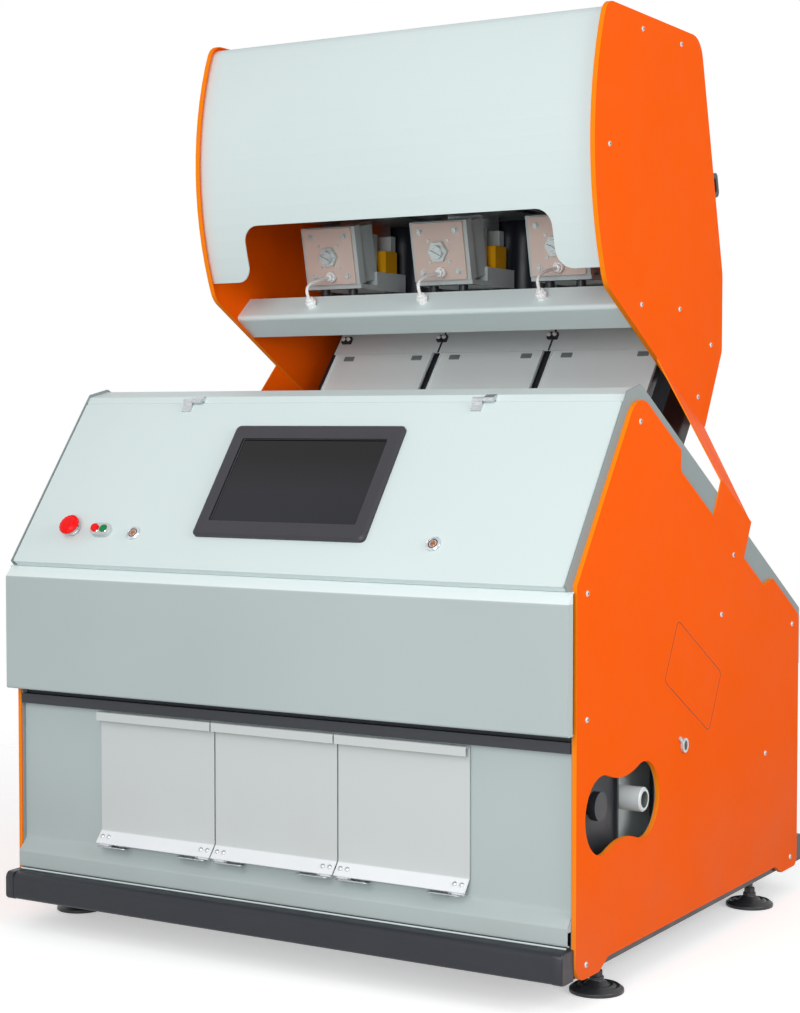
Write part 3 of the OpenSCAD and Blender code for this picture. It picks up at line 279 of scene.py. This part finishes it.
finishes = {
    # the orange's edge tone is a painted highlight along the sheets' edges
    "orange": powderCoat("orangeCoat", "#FF6000", 0.50, 0.02, 0.03, edge="#FF8A14"),
    "grey": powderCoat("greyCoat", "#B4C0C0", 0.46, gloss=0.25),
    "wall": powderCoat("wallCoat", "#8E9999", 0.46, gloss=0.25),
    # painted highlight: the lip above lipLevel is painted pale, as if lit from above
    "front": powderCoat("frontCoat", "#B4C0C0", 0.46, gloss=0.25, above=("#E4EEEE", lipLevel)),
    "chute": powderCoat("chuteCoat", "#EFF6F6", 0.40, 0.02, gloss=0.25),
    "pale": powderCoat("paleCoat", "#D7E4E4", 0.44, 0.02, gloss=0.25),
    "door": powderCoat("doorCoat", "#EDF0F3", 0.42, 0.02, 0.3, ("#CDD2D2", flapLevel)),
    "black": powderCoat("blackCoat", "#2A2D33", 0.46, 0.10),
    "drive": powderCoat("driveCoat", "#C2CACA", 0.44, gloss=0.25),
    "beige": powderCoat("plateCoat", "#DCC8BE", 0.45, 0.05, gloss=0.25),
    "steel": brushedMetal("fastenerSteel", "#C9CDD0", 0.30, (60.0, 60.0, 300.0)),
    "zinc": brushedMetal("zincPlate", "#C8D2D2", 0.32, (60.0, 60.0, 300.0), 0.35),
    "sheet": brushedMetal("chuteSteel", "#BFC5C8", 0.34),
    "alloy": brushedMetal("milledAlloy", "#C6CBCE", 0.36),
    "chrome": brushedMetal("lockChrome", "#DADDE0", 0.16, (90.0, 90.0, 90.0)),
    "copper": brushedMetal("keyCopper", "#B87A50", 0.30, (90.0, 90.0, 90.0)),
    # rubber of the bumpers, also used for the painted shade sheet behind the feeder drives
    "rubber": mouldedPlastic("bumperRubber", "#23262D", 0.42, gloss=0.4),
    "foot": mouldedPlastic("footBlack", "#2A2B2D", 0.38, 600.0),
    # black of the rear handle and other black parts, also used for painted shade in sockets, a recess
    # and gaps
    "handle": mouldedPlastic("blackPlastic", "#26272A", 0.40),
    "bezel": mouldedPlastic("bezelPlastic", "#2B2A30", 0.46),
    "housing": mouldedPlastic("housingPlastic", "#C5CACA", 0.32),
    "red": mouldedPlastic("redPlastic", "#F80A0A", 0.36, 500.0, 0.05, 0.2),
    "green": mouldedPlastic("greenPlastic", "#088445", 0.36, 500.0, 0.05, 0.2),
    # painted shade: a dark brown for the shade in the side hatch's gap
    "gasket": mouldedPlastic("hatchGasket", "#4A1E06", 0.60),
    "amber": mouldedPlastic("coilAmber", "#E0A000", 0.40),
    "white": mouldedPlastic("whitePlastic", "#F6F8FA", 0.34),
    # painted shade: the pipe's bore is painted dark
    "pipe": pipePlasticBoreShade("pipeGrey", "#D2D9DA", "#2E2A28", pipeAxis, levels["bore"]),
    # painted reflection: the screen's tone goes blacker between the two heights
    "screen": screenGlass("screenGlass", "#1C1D24", "#040406", *levels["screen"]),
    "clip": clipPlastic("clipPlastic", "#1E1F21", "#7E8788", levels["clip"]),
}

coatOf = {
    "orange": "left_side_cover right_side_cover side_hatch hood_right_panel hood_left_panel",
    "wall": "left_side_wall right_side_wall",
    "grey": "lower_front rear_panel rear_slope",
    "front": "front_panel",
    "door": "sample_door_1 sample_door_2 sample_door_3",
    "pale": "top_strip console_panel hood_front_cover hood_top hood_rear_cover feeder_beam",
    "chute": "chute_covers",
    "black": "base_frame shadow_channel feeder_rails chute_frame optics_boxes pipe_bracket",
    "drive": "feeder_drives",
    "beige": "feeder_plates",
    "steel": "console_hinge_leaves hinge_bases",
    "zinc": "side_latch feeder_fasteners panel_screws",
    "sheet": "feed_hopper feeder_tray_1 feeder_tray_2 feeder_tray_3 chutes outlet_sheets",
    "alloy": "ejector_bar",
    "chrome": "lock_left lock_right",
    "rubber": "bumpers",
    "foot": "foot_front_left foot_front_right foot_rear_left foot_rear_right",
    "handle": "rear_handle",
    "clip": "chute_clips",
    "bezel": "screen_bezel",
    "housing": "button_housings",
    "red": "estop_head stop_button",
    "green": "start_button",
    "amber": "magnet_blocks",
    "white": "cable_glands feeder_cables",
    "pipe": "air_pipe",
    "screen": "screen_glass",
}


def dress(obj, finish):
    obj.data.materials.clear()
    obj.data.materials.append(finishes[finish])


for finish, names in coatOf.items():
    for name in names.split():
        dress(nodes[name], finish)
bare = sorted(set(nodes) - set(" ".join(coatOf.values()).split()))
print("finishes:", len(finishes), "nodes left bare:", bare)


# pieces worked out on grids of points


def surface(name, grids, finish, body, wrapU=False, wrapV=True, solid=0.0):
    # each grid is (nu, nv, 3); quads join neighbours, poles and seams are merged after
    grids = np.asarray(grids, float).reshape(-1, *np.shape(grids)[-3:])
    count, nu, nv = grids.shape[:3]
    u = np.arange(nu if wrapU else nu - 1)[:, None]
    v = np.arange(nv if wrapV else nv - 1)[None, :]
    u2, v2 = (u + 1) % nu, (v + 1) % nv
    quads = np.stack([u * nv + v, u2 * nv + v, u2 * nv + v2, u * nv + v2], -1).reshape(-1, 4)
    faces = (quads[None] + (np.arange(count) * nu * nv)[:, None, None]).reshape(-1, 4)
    mesh = bpy.data.meshes.new(name)
    mesh.from_pydata(grids.reshape(-1, 3).tolist(), [], faces.tolist())
    bm = bmesh.new()
    bm.from_mesh(mesh)
    bmesh.ops.remove_doubles(bm, verts=bm.verts, dist=1e-7)
    bmesh.ops.dissolve_degenerate(bm, edges=bm.edges, dist=1e-8)
    bmesh.ops.recalc_face_normals(bm, faces=bm.faces)
    bm.to_mesh(mesh)
    bm.free()
    mesh.polygons.foreach_set("use_smooth", np.ones(len(mesh.polygons), bool))
    mesh.set_sharp_from_angle(angle=math.radians(40))
    obj = bpy.data.objects.new(name, mesh)
    bpy.context.scene.collection.objects.link(obj)
    if solid:
        skin = obj.modifiers.new("thickness", "SOLIDIFY")
        skin.thickness = solid
        skin.offset = 0.0
    dress(obj, finish)
    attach(obj, body)


def crossAxes(normal):
    # two unit vectors square to the normal, the first along X where it can be
    n = np.asarray(normal, float) / np.linalg.norm(normal)
    first = np.array([1.0, 0, 0]) if abs(n[0]) < 0.9 else np.array([0, 1.0, 0])
    e1 = first - n * (first @ n)
    e1 /= np.linalg.norm(e1)
    return e1, np.cross(n, e1), n


def turned(profile, at, normal, segments=32, knurl=0.0, teeth=0):
    # P(u, v) = at + r(u) (1 + knurl cos(teeth v)) (e1 cos v + e2 sin v) + z(u) n
    e1, e2, n = crossAxes(normal)
    r, z = np.asarray(profile, float).T
    v = np.linspace(0, 2 * np.pi, segments, endpoint=False)
    ring = np.cos(v)[:, None] * e1 + np.sin(v)[:, None] * e2
    radius = r[:, None] * (1 + knurl * np.cos(teeth * v))[None, :]
    return np.asarray(at) + radius[..., None] * ring[None] + z[:, None, None] * n


def domeProfile(radius, height, skirt, steps=7):
    # r = R sin t, z = skirt + h cos t, down to a short straight skirt
    t = np.linspace(0, np.pi / 2, steps)
    dome = np.stack([radius * np.sin(t), skirt + height * np.cos(t)], 1)
    return np.vstack([dome, [[radius, 0.0], [0.0, 0.0]]])


def roundedLoop(w, h, r, steps=6):
    # corner arcs of a rectangle, one after the other round the loop
    t = np.linspace(0, np.pi / 2, steps)
    x, y = w / 2 - r, h / 2 - r
    corners = ((0, x, y), (np.pi / 2, -x, y), (np.pi, -x, -y), (1.5 * np.pi, x, -y))
    return np.vstack([np.stack([cx + r * np.cos(t + k), cy + r * np.sin(t + k)], 1)
                      for k, cx, cy in corners])


def middle(node):
    low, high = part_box(node)
    return np.array((low + high) / 2)


nearby = 1e-4    # points this close in height count as one face


def meshPoints(node):
    mesh = nodes[node].data
    points = np.empty(len(mesh.vertices) * 3)
    mesh.vertices.foreach_get("co", points)
    return points.reshape(-1, 3)


joints = {j["name"]: j for j in frame["joints"]}
consoleNormal = np.array(joints["left_lock_turn"]["axis"])
lanePitch = joints["door_2_open"]["pos_m"][0] - joints["door_1_open"]["pos_m"][0]

# the chute covers' plane: its slope in degrees, and y and z of a point on it
chutePlane = {"slope": 51.5, "foot": (0.281, 1.291)}


def chuteAxes(v):
    # unit vectors up the chutes and square to their covers
    a = math.radians(v["slope"])
    return np.array([0, math.cos(a), math.sin(a)]), np.array([0, -math.sin(a), math.cos(a)])


def onConsole(node, lift=0.0):
    # the node's middle, moved square to the console onto its face, or to a height over it
    p = middle(node)
    return p - consoleNormal * ((p - np.array(joints["left_lock_turn"]["pos_m"])) @ consoleNormal - lift)


# domed bolts on the doors' flaps
flapBolts = {"radius": 0.0055, "height": 0.003, "skirt": 0.0012, "fromEnd": (0.012, 0.030),
             "up": (0.0015, 0.018), "slope": (-0.773, 0.635)}


def boltDoors(v):
    head = domeProfile(v["radius"], v["height"], v["skirt"])
    for i in (1, 2, 3):
        low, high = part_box("sample_door_%d" % i)
        y, z = joints["door_%d_open" % i]["pos_m"][1:]
        ends = [e for d in v["fromEnd"] for e in (low.x + d, high.x - d)]
        place = (y + v["up"][0], z + v["up"][1])
        grids = [turned(head, (e, *place), (0, *v["slope"]), 20) for e in ends]
        surface("flapBolts_%d" % i, grids, "steel", "door_%d" % i)


boltDoors(flapBolts)

# key plugs in the cam locks, two half discs with a slit between
keyPlug = {"radius": 0.0066, "slit": 0.0006, "lift": 0.0044, "thick": 0.0008}


def plugLocks(v):
    # P(u, v) = at +- slit e2 + u (e1 cos v + e2 sin v) over half a turn
    e1, e2, n = crossAxes(consoleNormal)
    u = np.linspace(0, v["radius"], 5)[:, None, None]
    t = np.linspace(0, np.pi, 13)[None, :, None]
    half = u * (np.cos(t) * e1 + np.sin(t) * e2) + v["slit"] * e2
    other = half - 2 * (half @ e2)[..., None] * e2
    for side in ("left", "right"):
        at = np.array(joints[side + "_lock_turn"]["pos_m"]) + v["lift"] * n
        surface("keyPlug_" + side, [at + half, at + other], "copper", side + "_lock",
                wrapV=False, solid=v["thick"])


plugLocks(keyPlug)

# white screw heads on the chutes' clamps
clipScrew = {"radius": 0.0056, "height": 0.0030, "skirt": 0.0052, "apart": 0.004}


def screwClips(v):
    # the clamps' own screws are their highest points; each gets a domed head
    n = chuteAxes(chutePlane)[1]
    points = meshPoints("chute_clips")
    rise = points @ n
    tops = points[rise > rise.max() - nearby]
    tops = tops[np.argsort(tops[:, 0])]
    groups = np.split(tops, np.nonzero(np.diff(tops[:, 0]) > v["apart"])[0] + 1)
    spots = [(g.min(0) + g.max(0)) / 2 - v["skirt"] * n for g in groups]
    head = domeProfile(v["radius"], v["height"], v["skirt"])
    surface("clipScrews", [turned(head, p, n, 20) for p in spots], "white", "cabinet")
    print("clamp screws:", len(spots))


screwClips(clipScrew)

# dark discs on the side screws' heads, painted shade that stands for the shade in their sockets, and one
# more screw under each of the hood's tabs
socketShade = {"radius": 0.0026, "lift": 0.0002, "depth": 0.0008}
tabScrew = {"radius": 0.0062, "height": 0.0016, "skirt": 0.0009, "y": 0.197, "z": 0.898}


def islands(node):
    # points joined by edges share the lowest number among them, spread until nothing changes
    mesh = nodes[node].data
    ends = np.empty(len(mesh.edges) * 2, int)
    mesh.edges.foreach_get("vertices", ends)
    spots, own = np.unique(np.round(meshPoints(node), 6), axis=0, return_inverse=True)
    ends = own.reshape(-1)[ends].reshape(-1, 2)
    label, before = np.arange(len(spots)), None
    while before is None or (label != before).any():
        before = label.copy()
        lowest = label[ends].min(1)
        np.minimum.at(label, ends[:, 0], lowest)
        np.minimum.at(label, ends[:, 1], lowest)
    return [spots[label == k] for k in np.unique(label)]


def screwsAndSocketShade(v, extra):
    profile = [(0, 0), (v["radius"], 0), (v["radius"], -v["depth"]), (0, -v["depth"])]
    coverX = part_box("right_side_cover")[1].x
    heads, tops = [], []
    for g in islands("panel_screws"):
        at = (g.min(0) + g.max(0)) / 2
        at[0] = g[np.argmax(np.abs(g[:, 0])), 0]
        tops.append(at)
    dome = domeProfile(extra["radius"], extra["height"], extra["skirt"])
    for side in (-1, 1):
        at = np.array([side * coverX, extra["y"], extra["z"]])
        heads.append(turned(dome, at, (side, 0, 0), 18))
        tops.append(at + np.array([side * (extra["height"] + extra["skirt"]), 0, 0]))
    surface("tabScrews", heads, "zinc", "cabinet")
    sides = [np.array([np.sign(p[0]), 0, 0]) for p in tops]
    # painted shade: a dark disc on each head stands for the shade in its socket
    grids = [turned(profile, p + v["lift"] * out, out, 12) for p, out in zip(tops, sides)]
    surface("screwSockets", grids, "handle", "cabinet")
    print("side screws:", len(tops))


screwsAndSocketShade(socketShade, tabScrew)

# knurled collar under the emergency stop, and rims round the push buttons
collar = {"inner": 0.0151, "outer": 0.0176, "height": 0.0075, "knurl": 0.018, "teeth": 30}
rims = {"inner": 0.0103, "outer": 0.0117, "height": 0.0014, "housing": 0.014}
ringEdge = 0.3    # share of a ring's width that its bevels take


def ringProfile(inner, outer, z0, z1):
    edge = ringEdge * (outer - inner)
    return [(inner, z0), (outer, z0), (outer, z1 - edge), (outer - edge, z1),
            (inner + edge, z1), (inner, z1 - edge)]


def trimButtons(v, c):
    n = consoleNormal
    ring = ringProfile(c["inner"], c["outer"], 0.0, c["height"])
    grid = turned(ring, onConsole("estop_head"), n, 120, c["knurl"], c["teeth"])
    surface("stopCollar", [grid], "steel", "console", wrapU=True)
    ring = ringProfile(v["inner"], v["outer"], 0.0, v["height"])
    places = [onConsole(name, v["housing"]) for name in ("stop_button", "start_button")]
    grids = [turned(ring, p, n, 40) for p in places]
    surface("buttonRims", grids, "chrome", "console", wrapU=True)


trimButtons(rims, collar)

# scalloped rim round the emergency stop's head
stopRim = {"inner": 0.0205, "outer": 0.0254, "from": 0.0215, "to": 0.0290,
           "scallop": 0.022, "lobes": 16}


def rimStop(v):
    ring = ringProfile(v["inner"], v["outer"], v["from"], v["to"])
    grid = turned(ring, onConsole("estop_head"), consoleNormal, 128, v["scallop"], v["lobes"])
    surface("stopRim", [grid], "red", "estop", wrapU=True)


rimStop(stopRim)

# dark ring in each cam lock's face, round the key plug
lockRing = {"inner": 0.0076, "outer": 0.0128, "foot": 0.0030, "height": 0.0044}


def ringLocks(v):
    ring = ringProfile(v["inner"], v["outer"], v["foot"], v["height"])
    for side in ("left", "right"):
        at = np.array(joints[side + "_lock_turn"]["pos_m"])
        grid = turned(ring, at, consoleNormal, 48)
        surface("lockRing_" + side, [grid], "handle", side + "_lock", wrapU=True)


ringLocks(lockRing)

# thin steel leaves of the doors' hinges, under the flaps' edge
flapLeaf = {"length": 0.080, "fromEnd": 0.010, "ahead": 0.0170, "behind": 0.0020, "up": -0.0026,
            "thick": 0.0016}


def leafDoors(v):
    # P(u, v) = (x(u), y(v), z0), a flat strip given its thickness after
    u, w = np.meshgrid(np.linspace(0, v["length"], 9), np.linspace(-v["ahead"], v["behind"], 4),
                       indexing="ij")
    for i in (1, 2, 3):
        low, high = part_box("sample_door_%d" % i)
        y, z = joints["door_%d_open" % i]["pos_m"][1:]
        starts = (low.x + v["fromEnd"], high.x - v["fromEnd"] - v["length"])
        grids = [np.stack([start + u, y + w, np.full_like(u, z + v["up"])], -1) for start in starts]
        surface("flapLeaves_%d" % i, grids, "steel", "door_%d" % i,
                wrapV=False, solid=v["thick"])


leafDoors(flapLeaf)

# black strips where the upper chute covers nearly meet, painted shade that stands for the shade in the
# gaps between them
coverGapShade = {"run": (0.142, 0.326), "width": 0.0050, "lift": 0.0006, "thick": 0.0010}


def shadeCoverGaps(v, plane):
    # P(u, v) = foot + s(u) along the slope, with w(v) across it
    along, out = chuteAxes(plane)
    s, w = np.meshgrid(np.linspace(*v["run"], 8), np.linspace(-0.5, 0.5, 3) * v["width"],
                       indexing="ij")
    strip = s[..., None] * along + w[..., None] * np.array([1.0, 0, 0]) + v["lift"] * out
    grids = [strip + np.array([side * lanePitch / 2, *plane["foot"]]) for side in (-1, 1)]
    # painted shade: a thin black strip over each gap
    surface("coverSeams", grids, "handle", "cabinet", wrapV=False, solid=v["thick"])


shadeCoverGaps(coverGapShade, chutePlane)

# black plates on both sides of the chute frame, the right one taller
# above this height the frame is only its two rails
sidePlate = {"above": 1.2, "off": 0.0025, "run": (-0.330, 0.326), "low": -0.158,
             "top": (-0.050, -0.006), "flange": (0.0, 0.042), "thick": 0.0040}


def plateChutes(v, plane):
    # P(u, v) = foot + s(u) along the slope + h(v) square to it; the last row is turned inwards
    along, out = chuteAxes(plane)
    rails = meshPoints("chute_frame")
    outside = rails[rails[:, 2] > v["above"], 0].max() + v["off"]
    grids = []
    for side, top, flange in zip((-1, 1), v["top"], v["flange"]):
        rise = np.append(np.linspace(v["low"], top, 4), top)
        s, h = np.meshgrid(np.linspace(*v["run"], 10), rise, indexing="ij")
        inwards = np.append(np.zeros(len(rise) - 1), flange)
        across = side * (outside - inwards)[None, :, None] * np.array([1.0, 0, 0])
        grids.append(s[..., None] * along + h[..., None] * out + across + np.array([0, *plane["foot"]]))
    surface("chuteSides", grids, "black", "cabinet", wrapV=False, solid=v["thick"])


plateChutes(sidePlate, chutePlane)

# dark flat oval on the latch's face, painted shade that stands for the shade in its recess
latchSlot = {"wide": 0.0150, "long": 0.0215, "lift": 0.0003, "thick": 0.0006}


def shadeLatchRecess(v):
    # P(u, v) = at + u (wide cos v, long sin v) / 2, a flat oval given its thickness after
    at = np.array(joints["latch_turn"]["pos_m"])
    at[0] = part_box("side_latch")[1].x + v["lift"]
    u, t = np.meshgrid(np.linspace(0, 0.5, 4), np.linspace(0, 2 * np.pi, 24, endpoint=False),
                       indexing="ij")
    oval = np.stack([0 * u, u * v["wide"] * np.cos(t), u * v["long"] * np.sin(t)], -1)
    # painted shade: the oval is dark to stand for the recess's shade
    surface("latchSlot", [at + oval], "handle", "latch", solid=v["thick"])


shadeLatchRecess(latchSlot)

# ribbed nuts on the cable glands, of the drives and of the beam
# each ring: inner and outer radius, start and end along the gland
glandNut = {"rings": ((0.0088, 0.0136, 0.0072, 0.0160), (0.0052, 0.0098, 0.0166, 0.0245)),
            "rib": 0.045, "ribs": 12, "driveTilt": 12.0, "beamTilt": 40.6}


def nutGlands(v):
    # each gland's base is the set of its points lowest along its own axis
    points = meshPoints("cable_glands")
    heights = np.sort(points[:, 2])
    split = np.argmax(np.diff(heights))
    level = (heights[split] + heights[split + 1]) / 2
    drive, beam = math.radians(v["driveTilt"]), math.radians(v["beamTilt"])
    axes = {True: (0, -math.cos(drive), -math.sin(drive)),    # on the drives, the upper glands
            False: (0, -math.sin(beam), math.cos(beam))}      # on the beam
    grids = []
    for middleX in (-lanePitch, 0.0, lanePitch):
        lane = np.abs(points[:, 0] - middleX) < lanePitch / 2
        for upper, axis in axes.items():
            own = points[lane & ((points[:, 2] > level) == upper)]
            rise = own @ np.array(axis)
            foot = own[rise < rise.min() + nearby]
            at = (foot.min(0) + foot.max(0)) / 2
            grids += [turned(ringProfile(*ring), at, axis, 72, v["rib"], v["ribs"])
                      for ring in v["rings"]]
    surface("glandNuts", grids, "white", "cabinet", wrapU=True)


nutGlands(glandNut)

# dark brown bead in the gap round the side hatch, painted shade that stands for the shade in the gap
hatchGasket = {"width": 0.297, "height": 0.150, "corner": 0.0145, "turn": -29.4, "bead": 0.0013,
               "flat": 0.5, "sink": 0.0004}


def shadeHatchGap(v):
    # P(u, v) = hatch loop(v), carried outwards and along X by a small ring(u)
    at = middle("side_hatch")
    at[0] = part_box("side_hatch")[1].x - v["sink"]
    a = math.radians(v["turn"])
    e1, e2 = np.array([0, np.cos(a), np.sin(a)]), np.array([0, -np.sin(a), np.cos(a)])
    u = np.linspace(0, 2 * np.pi, 8, endpoint=False)
    grow = v["bead"] * np.cos(u)
    rise = v["bead"] * v["flat"] * np.sin(u)
    loops = [roundedLoop(v["width"] + 2 * g, v["height"] + 2 * g, v["corner"] + g) for g in grow]
    grid = np.stack([at + np.array([x, 0, 0]) + p[:, :1] * e1 + p[:, 1:] * e2
                     for p, x in zip(loops, rise)])
    surface("hatchGasket", [grid], "gasket", "cabinet", wrapU=True)


shadeHatchGap(hatchGasket)

# grey lining of the side bay, behind the pipe
bayLining = {"behind": 0.084, "from": 0.002, "back": 0.260, "z": (0.240, 0.540), "thick": 0.0020}


def lineBay(v):
    # P(u, v) = (x0, y(u), z(v))
    x0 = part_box("air_pipe")[1].x - v["behind"]
    y0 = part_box("pipe_bracket")[1].y + v["from"]
    y, z = np.meshgrid(np.linspace(y0, y0 + v["back"], 12), np.linspace(*v["z"], 8),
                       indexing="ij")
    surface("bayLining", [np.stack([np.full_like(y, x0), y, z], -1)], "drive", "cabinet",
            wrapV=False, solid=v["thick"])


lineBay(bayLining)

# black folded sheet behind the feeder drives, painted shade that stands for the dark, shaded interior
# there
driveBackShade = {"behind": 0.014, "inside": 0.004, "wave": 0.003, "folds": 24, "below": 0.054, "thick": 0.003}


def hangDriveBackShade(v):
    # P(u, v) = (x(u), y0 + wave cos(2 pi folds u), z(v))
    y0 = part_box("feeder_drives")[1].y + v["behind"]
    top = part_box("feeder_tray_1")[1].z - v["below"]
    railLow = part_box("feeder_rails")[0].z
    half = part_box("feeder_beam")[1].x - v["inside"]
    u = np.linspace(0, 1, v["folds"] * 8 + 1)[:, None]
    z = np.linspace(railLow, top, 6)[None, :]
    x = half * (2 * u - 1) + 0 * z
    y = y0 + v["wave"] * np.cos(2 * np.pi * v["folds"] * u) + 0 * z
    # painted shade: the dark sheet fills the shaded space behind the drives
    surface("feederCurtain", [np.stack([x, y, z + 0 * u], -1)], "rubber", "cabinet",
            wrapV=False, solid=v["thick"])


hangDriveBackShade(driveBackShade)

# soft seal between the screen's glass and frame
seal = {"width": 0.0022, "height": 0.0016, "corner": 0.005, "inset": 0.0008, "short": 0.004,
        "lift": 0.0035}


def sealScreen(v):
    # P(u, v) = loop(v) moved in by the profile's width, and up by its height
    e1, e2, n = crossAxes(consoleNormal)
    low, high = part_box("screen_glass")
    w = high.x - low.x - 2 * v["inset"]
    h = math.hypot(high.y - low.y, high.z - low.z) - v["short"]
    at = middle("screen_glass") + v["lift"] * n
    u = np.linspace(0, np.pi, 7)
    inset = v["width"] * (1 - np.cos(u))
    rise = v["height"] * np.sin(u)
    loops = [roundedLoop(w - g, h - g, v["corner"]) for g in inset]
    grid = np.stack([at + p[:, :1] * e1 + p[:, 1:] * e2 + x * n for p, x in zip(loops, rise)])
    surface("screenSeal", [grid], "handle", "console")


sealScreen(seal)

# caps on the ends of the front and rear bumpers
bumperCap = {"length": 0.024, "proud": 0.0007, "round": 0.0096, "bevel": 0.004, "endScale": 0.90}


def capBumpers(v):
    # P(u, v): the bumper's rounded section, scaled down to a point at both ends of the cap
    low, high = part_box("bumpers")
    wallLow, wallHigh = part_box("base_frame")
    grids = []
    for face in (-1, 1):
        y0, y1 = (low.y, wallLow.y) if face < 0 else (wallHigh.y, high.y)
        w, h = y1 - y0 + 2 * v["proud"], high.z - low.z + 2 * v["proud"]
        loop = roundedLoop(w, h, v["round"])
        centre = np.array([0, (y0 + y1) / 2, (low.z + high.z) / 2])
        section = np.stack([np.zeros(len(loop)), loop[:, 0], loop[:, 1]], 1)
        outer = high.x + v["proud"]
        inner = outer - v["length"]
        steps = [(inner, 0.0), (inner, 1.0), (outer - v["bevel"], 1.0), (outer, v["endScale"]),
                 (outer, 0.0)]
        for side in (-1, 1):
            grids.append(np.stack([centre + s * section + np.array([side * x, 0, 0])
                                   for x, s in steps]))
    surface("bumperCaps", grids, "rubber", "cabinet")


capBumpers(bumperCap)

# pale bead along the gap between the sill and the front bumper
bead = {"radius": 0.0022, "back": 0.0024, "inside": 0.012}


def layBead(v):
    # P(u, v) = (x(u), y0 + r cos v, z0 + r sin v), with flat ends
    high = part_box("bumpers")[1]
    y0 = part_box("lower_front")[0].y + v["back"]
    t = np.linspace(0, 2 * np.pi, 12, endpoint=False)
    ring = v["radius"] * np.stack([np.zeros_like(t), np.cos(t), np.sin(t)], 1)
    x = high.x - v["inside"]
    centre = np.array([0, y0, high.z + v["radius"]])
    steps = ((-x, 0), (-x, 1), (x, 1), (x, 0))
    grid = np.stack([centre + s * ring + np.array([p, 0, 0]) for p, s in steps])
    surface("sillBead", [grid], "pale", "cabinet")


layBead(bead)


# floor and light
studio = {
    "floorSize": 16.0,
    "floorTone": "#F2F3F3",
    "floorFade": (1.5, 3.4),   # metres from the middle, from solid to gone
    "world": 0.42,
    "floorBounce": "#9A9C9C",  # the floor's tone for light that bounces off it
    "floorGlow": 0.42,         # white added where the camera sees the floor
    "lamps": [  # name, place, aim, size, watts
        ("keySoft", (0.8, -5.6, 3.9), (0.0, 0.0, 1.0), 3.0, 88.0),
        ("frontSoft", (1.9, -5.5, 1.5), (0.0, 0.0, 1.3), 1.8, 108.0),
        ("rightSoft", (5.0, -0.9, 2.4), (0.0, 0.0, 1.0), 2.8, 116.0),
    ],
}


def seenRay(tree):
    # 1 where the camera looks, straight, in a reflection or through glass
    path = tree.nodes.new("ShaderNodeLightPath")
    straight = tree.nodes.new("ShaderNodeMath")
    straight.operation = "MAXIMUM"
    tree.links.new(path.outputs["Is Camera Ray"], straight.inputs[0])
    tree.links.new(path.outputs["Is Glossy Ray"], straight.inputs[1])
    every = tree.nodes.new("ShaderNodeMath")
    every.operation = "MAXIMUM"
    tree.links.new(straight.outputs[0], every.inputs[0])
    tree.links.new(path.outputs["Is Transmission Ray"], every.inputs[1])
    return every.outputs[0]


def layFloor(v):
    h = v["floorSize"] / 2
    mesh = bpy.data.meshes.new("floor")
    mesh.from_pydata([(-h, -h, 0), (h, -h, 0), (h, h, 0), (-h, h, 0)], [], [(0, 1, 2, 3)])
    floor = bpy.data.objects.new("floor", mesh)
    bpy.context.scene.collection.objects.link(floor)
    r = Recipe("floorPale")
    base = srgb(v["floorTone"])
    eye = seenRay(r.tree)
    pale = r.blend(r.span(r.noise(0.6, 2.0), 0.0, 1.0), shade(base, 0.985), base)
    r.colour(r.blend(eye, srgb(v["floorBounce"]), pale))
    r.rough(r.span(r.noise(2.0, 2.0), 0.7, 0.8))
    away = r.tree.nodes.new("ShaderNodeVectorMath")
    away.operation = "LENGTH"
    r.join(r.where, away.inputs[0])
    r.join(r.span(away.outputs["Value"], 1.0, 0.0, *v["floorFade"]), r.bsdf.inputs["Alpha"])
    r.fixed(emission_color=(1.0, 1.0, 1.0, 1.0))
    r.join(r.span(eye, 0.0, v["floorGlow"], 0.0, 1.0), r.bsdf.inputs["Emission Strength"])
    mesh.materials.append(r.mat)


def hangLamps(v):
    for name, place, aim, size, watts in v["lamps"]:
        data = bpy.data.lights.new(name, "AREA")
        data.shape = "SQUARE"
        data.size = size
        data.energy = watts
        lamp = bpy.data.objects.new(name, data)
        lamp.location = place
        lamp.rotation_euler = (Vector(aim) - Vector(place)).to_track_quat("-Z", "Y").to_euler()
        bpy.context.scene.collection.objects.link(lamp)


def lightWorld(v):
    # plain grey light on the object, white where the camera or a reflection sees the backdrop
    world = bpy.data.worlds.new("studio")
    bpy.context.scene.world = world
    world.use_nodes = True
    tree = world.node_tree
    back = tree.nodes["Background"]
    back.inputs["Color"].default_value = (1.0, 1.0, 1.0, 1.0)
    level = tree.nodes.new("ShaderNodeMapRange")
    level.inputs["To Min"].default_value = v["world"]
    level.inputs["To Max"].default_value = 1.0
    tree.links.new(seenRay(tree), level.inputs["Value"])
    tree.links.new(level.outputs["Result"], back.inputs["Strength"])


layFloor(studio)
hangLamps(studio)
lightWorld(studio)
bpy.context.scene.view_settings.view_transform = "Standard"
print("floor and lamps set")
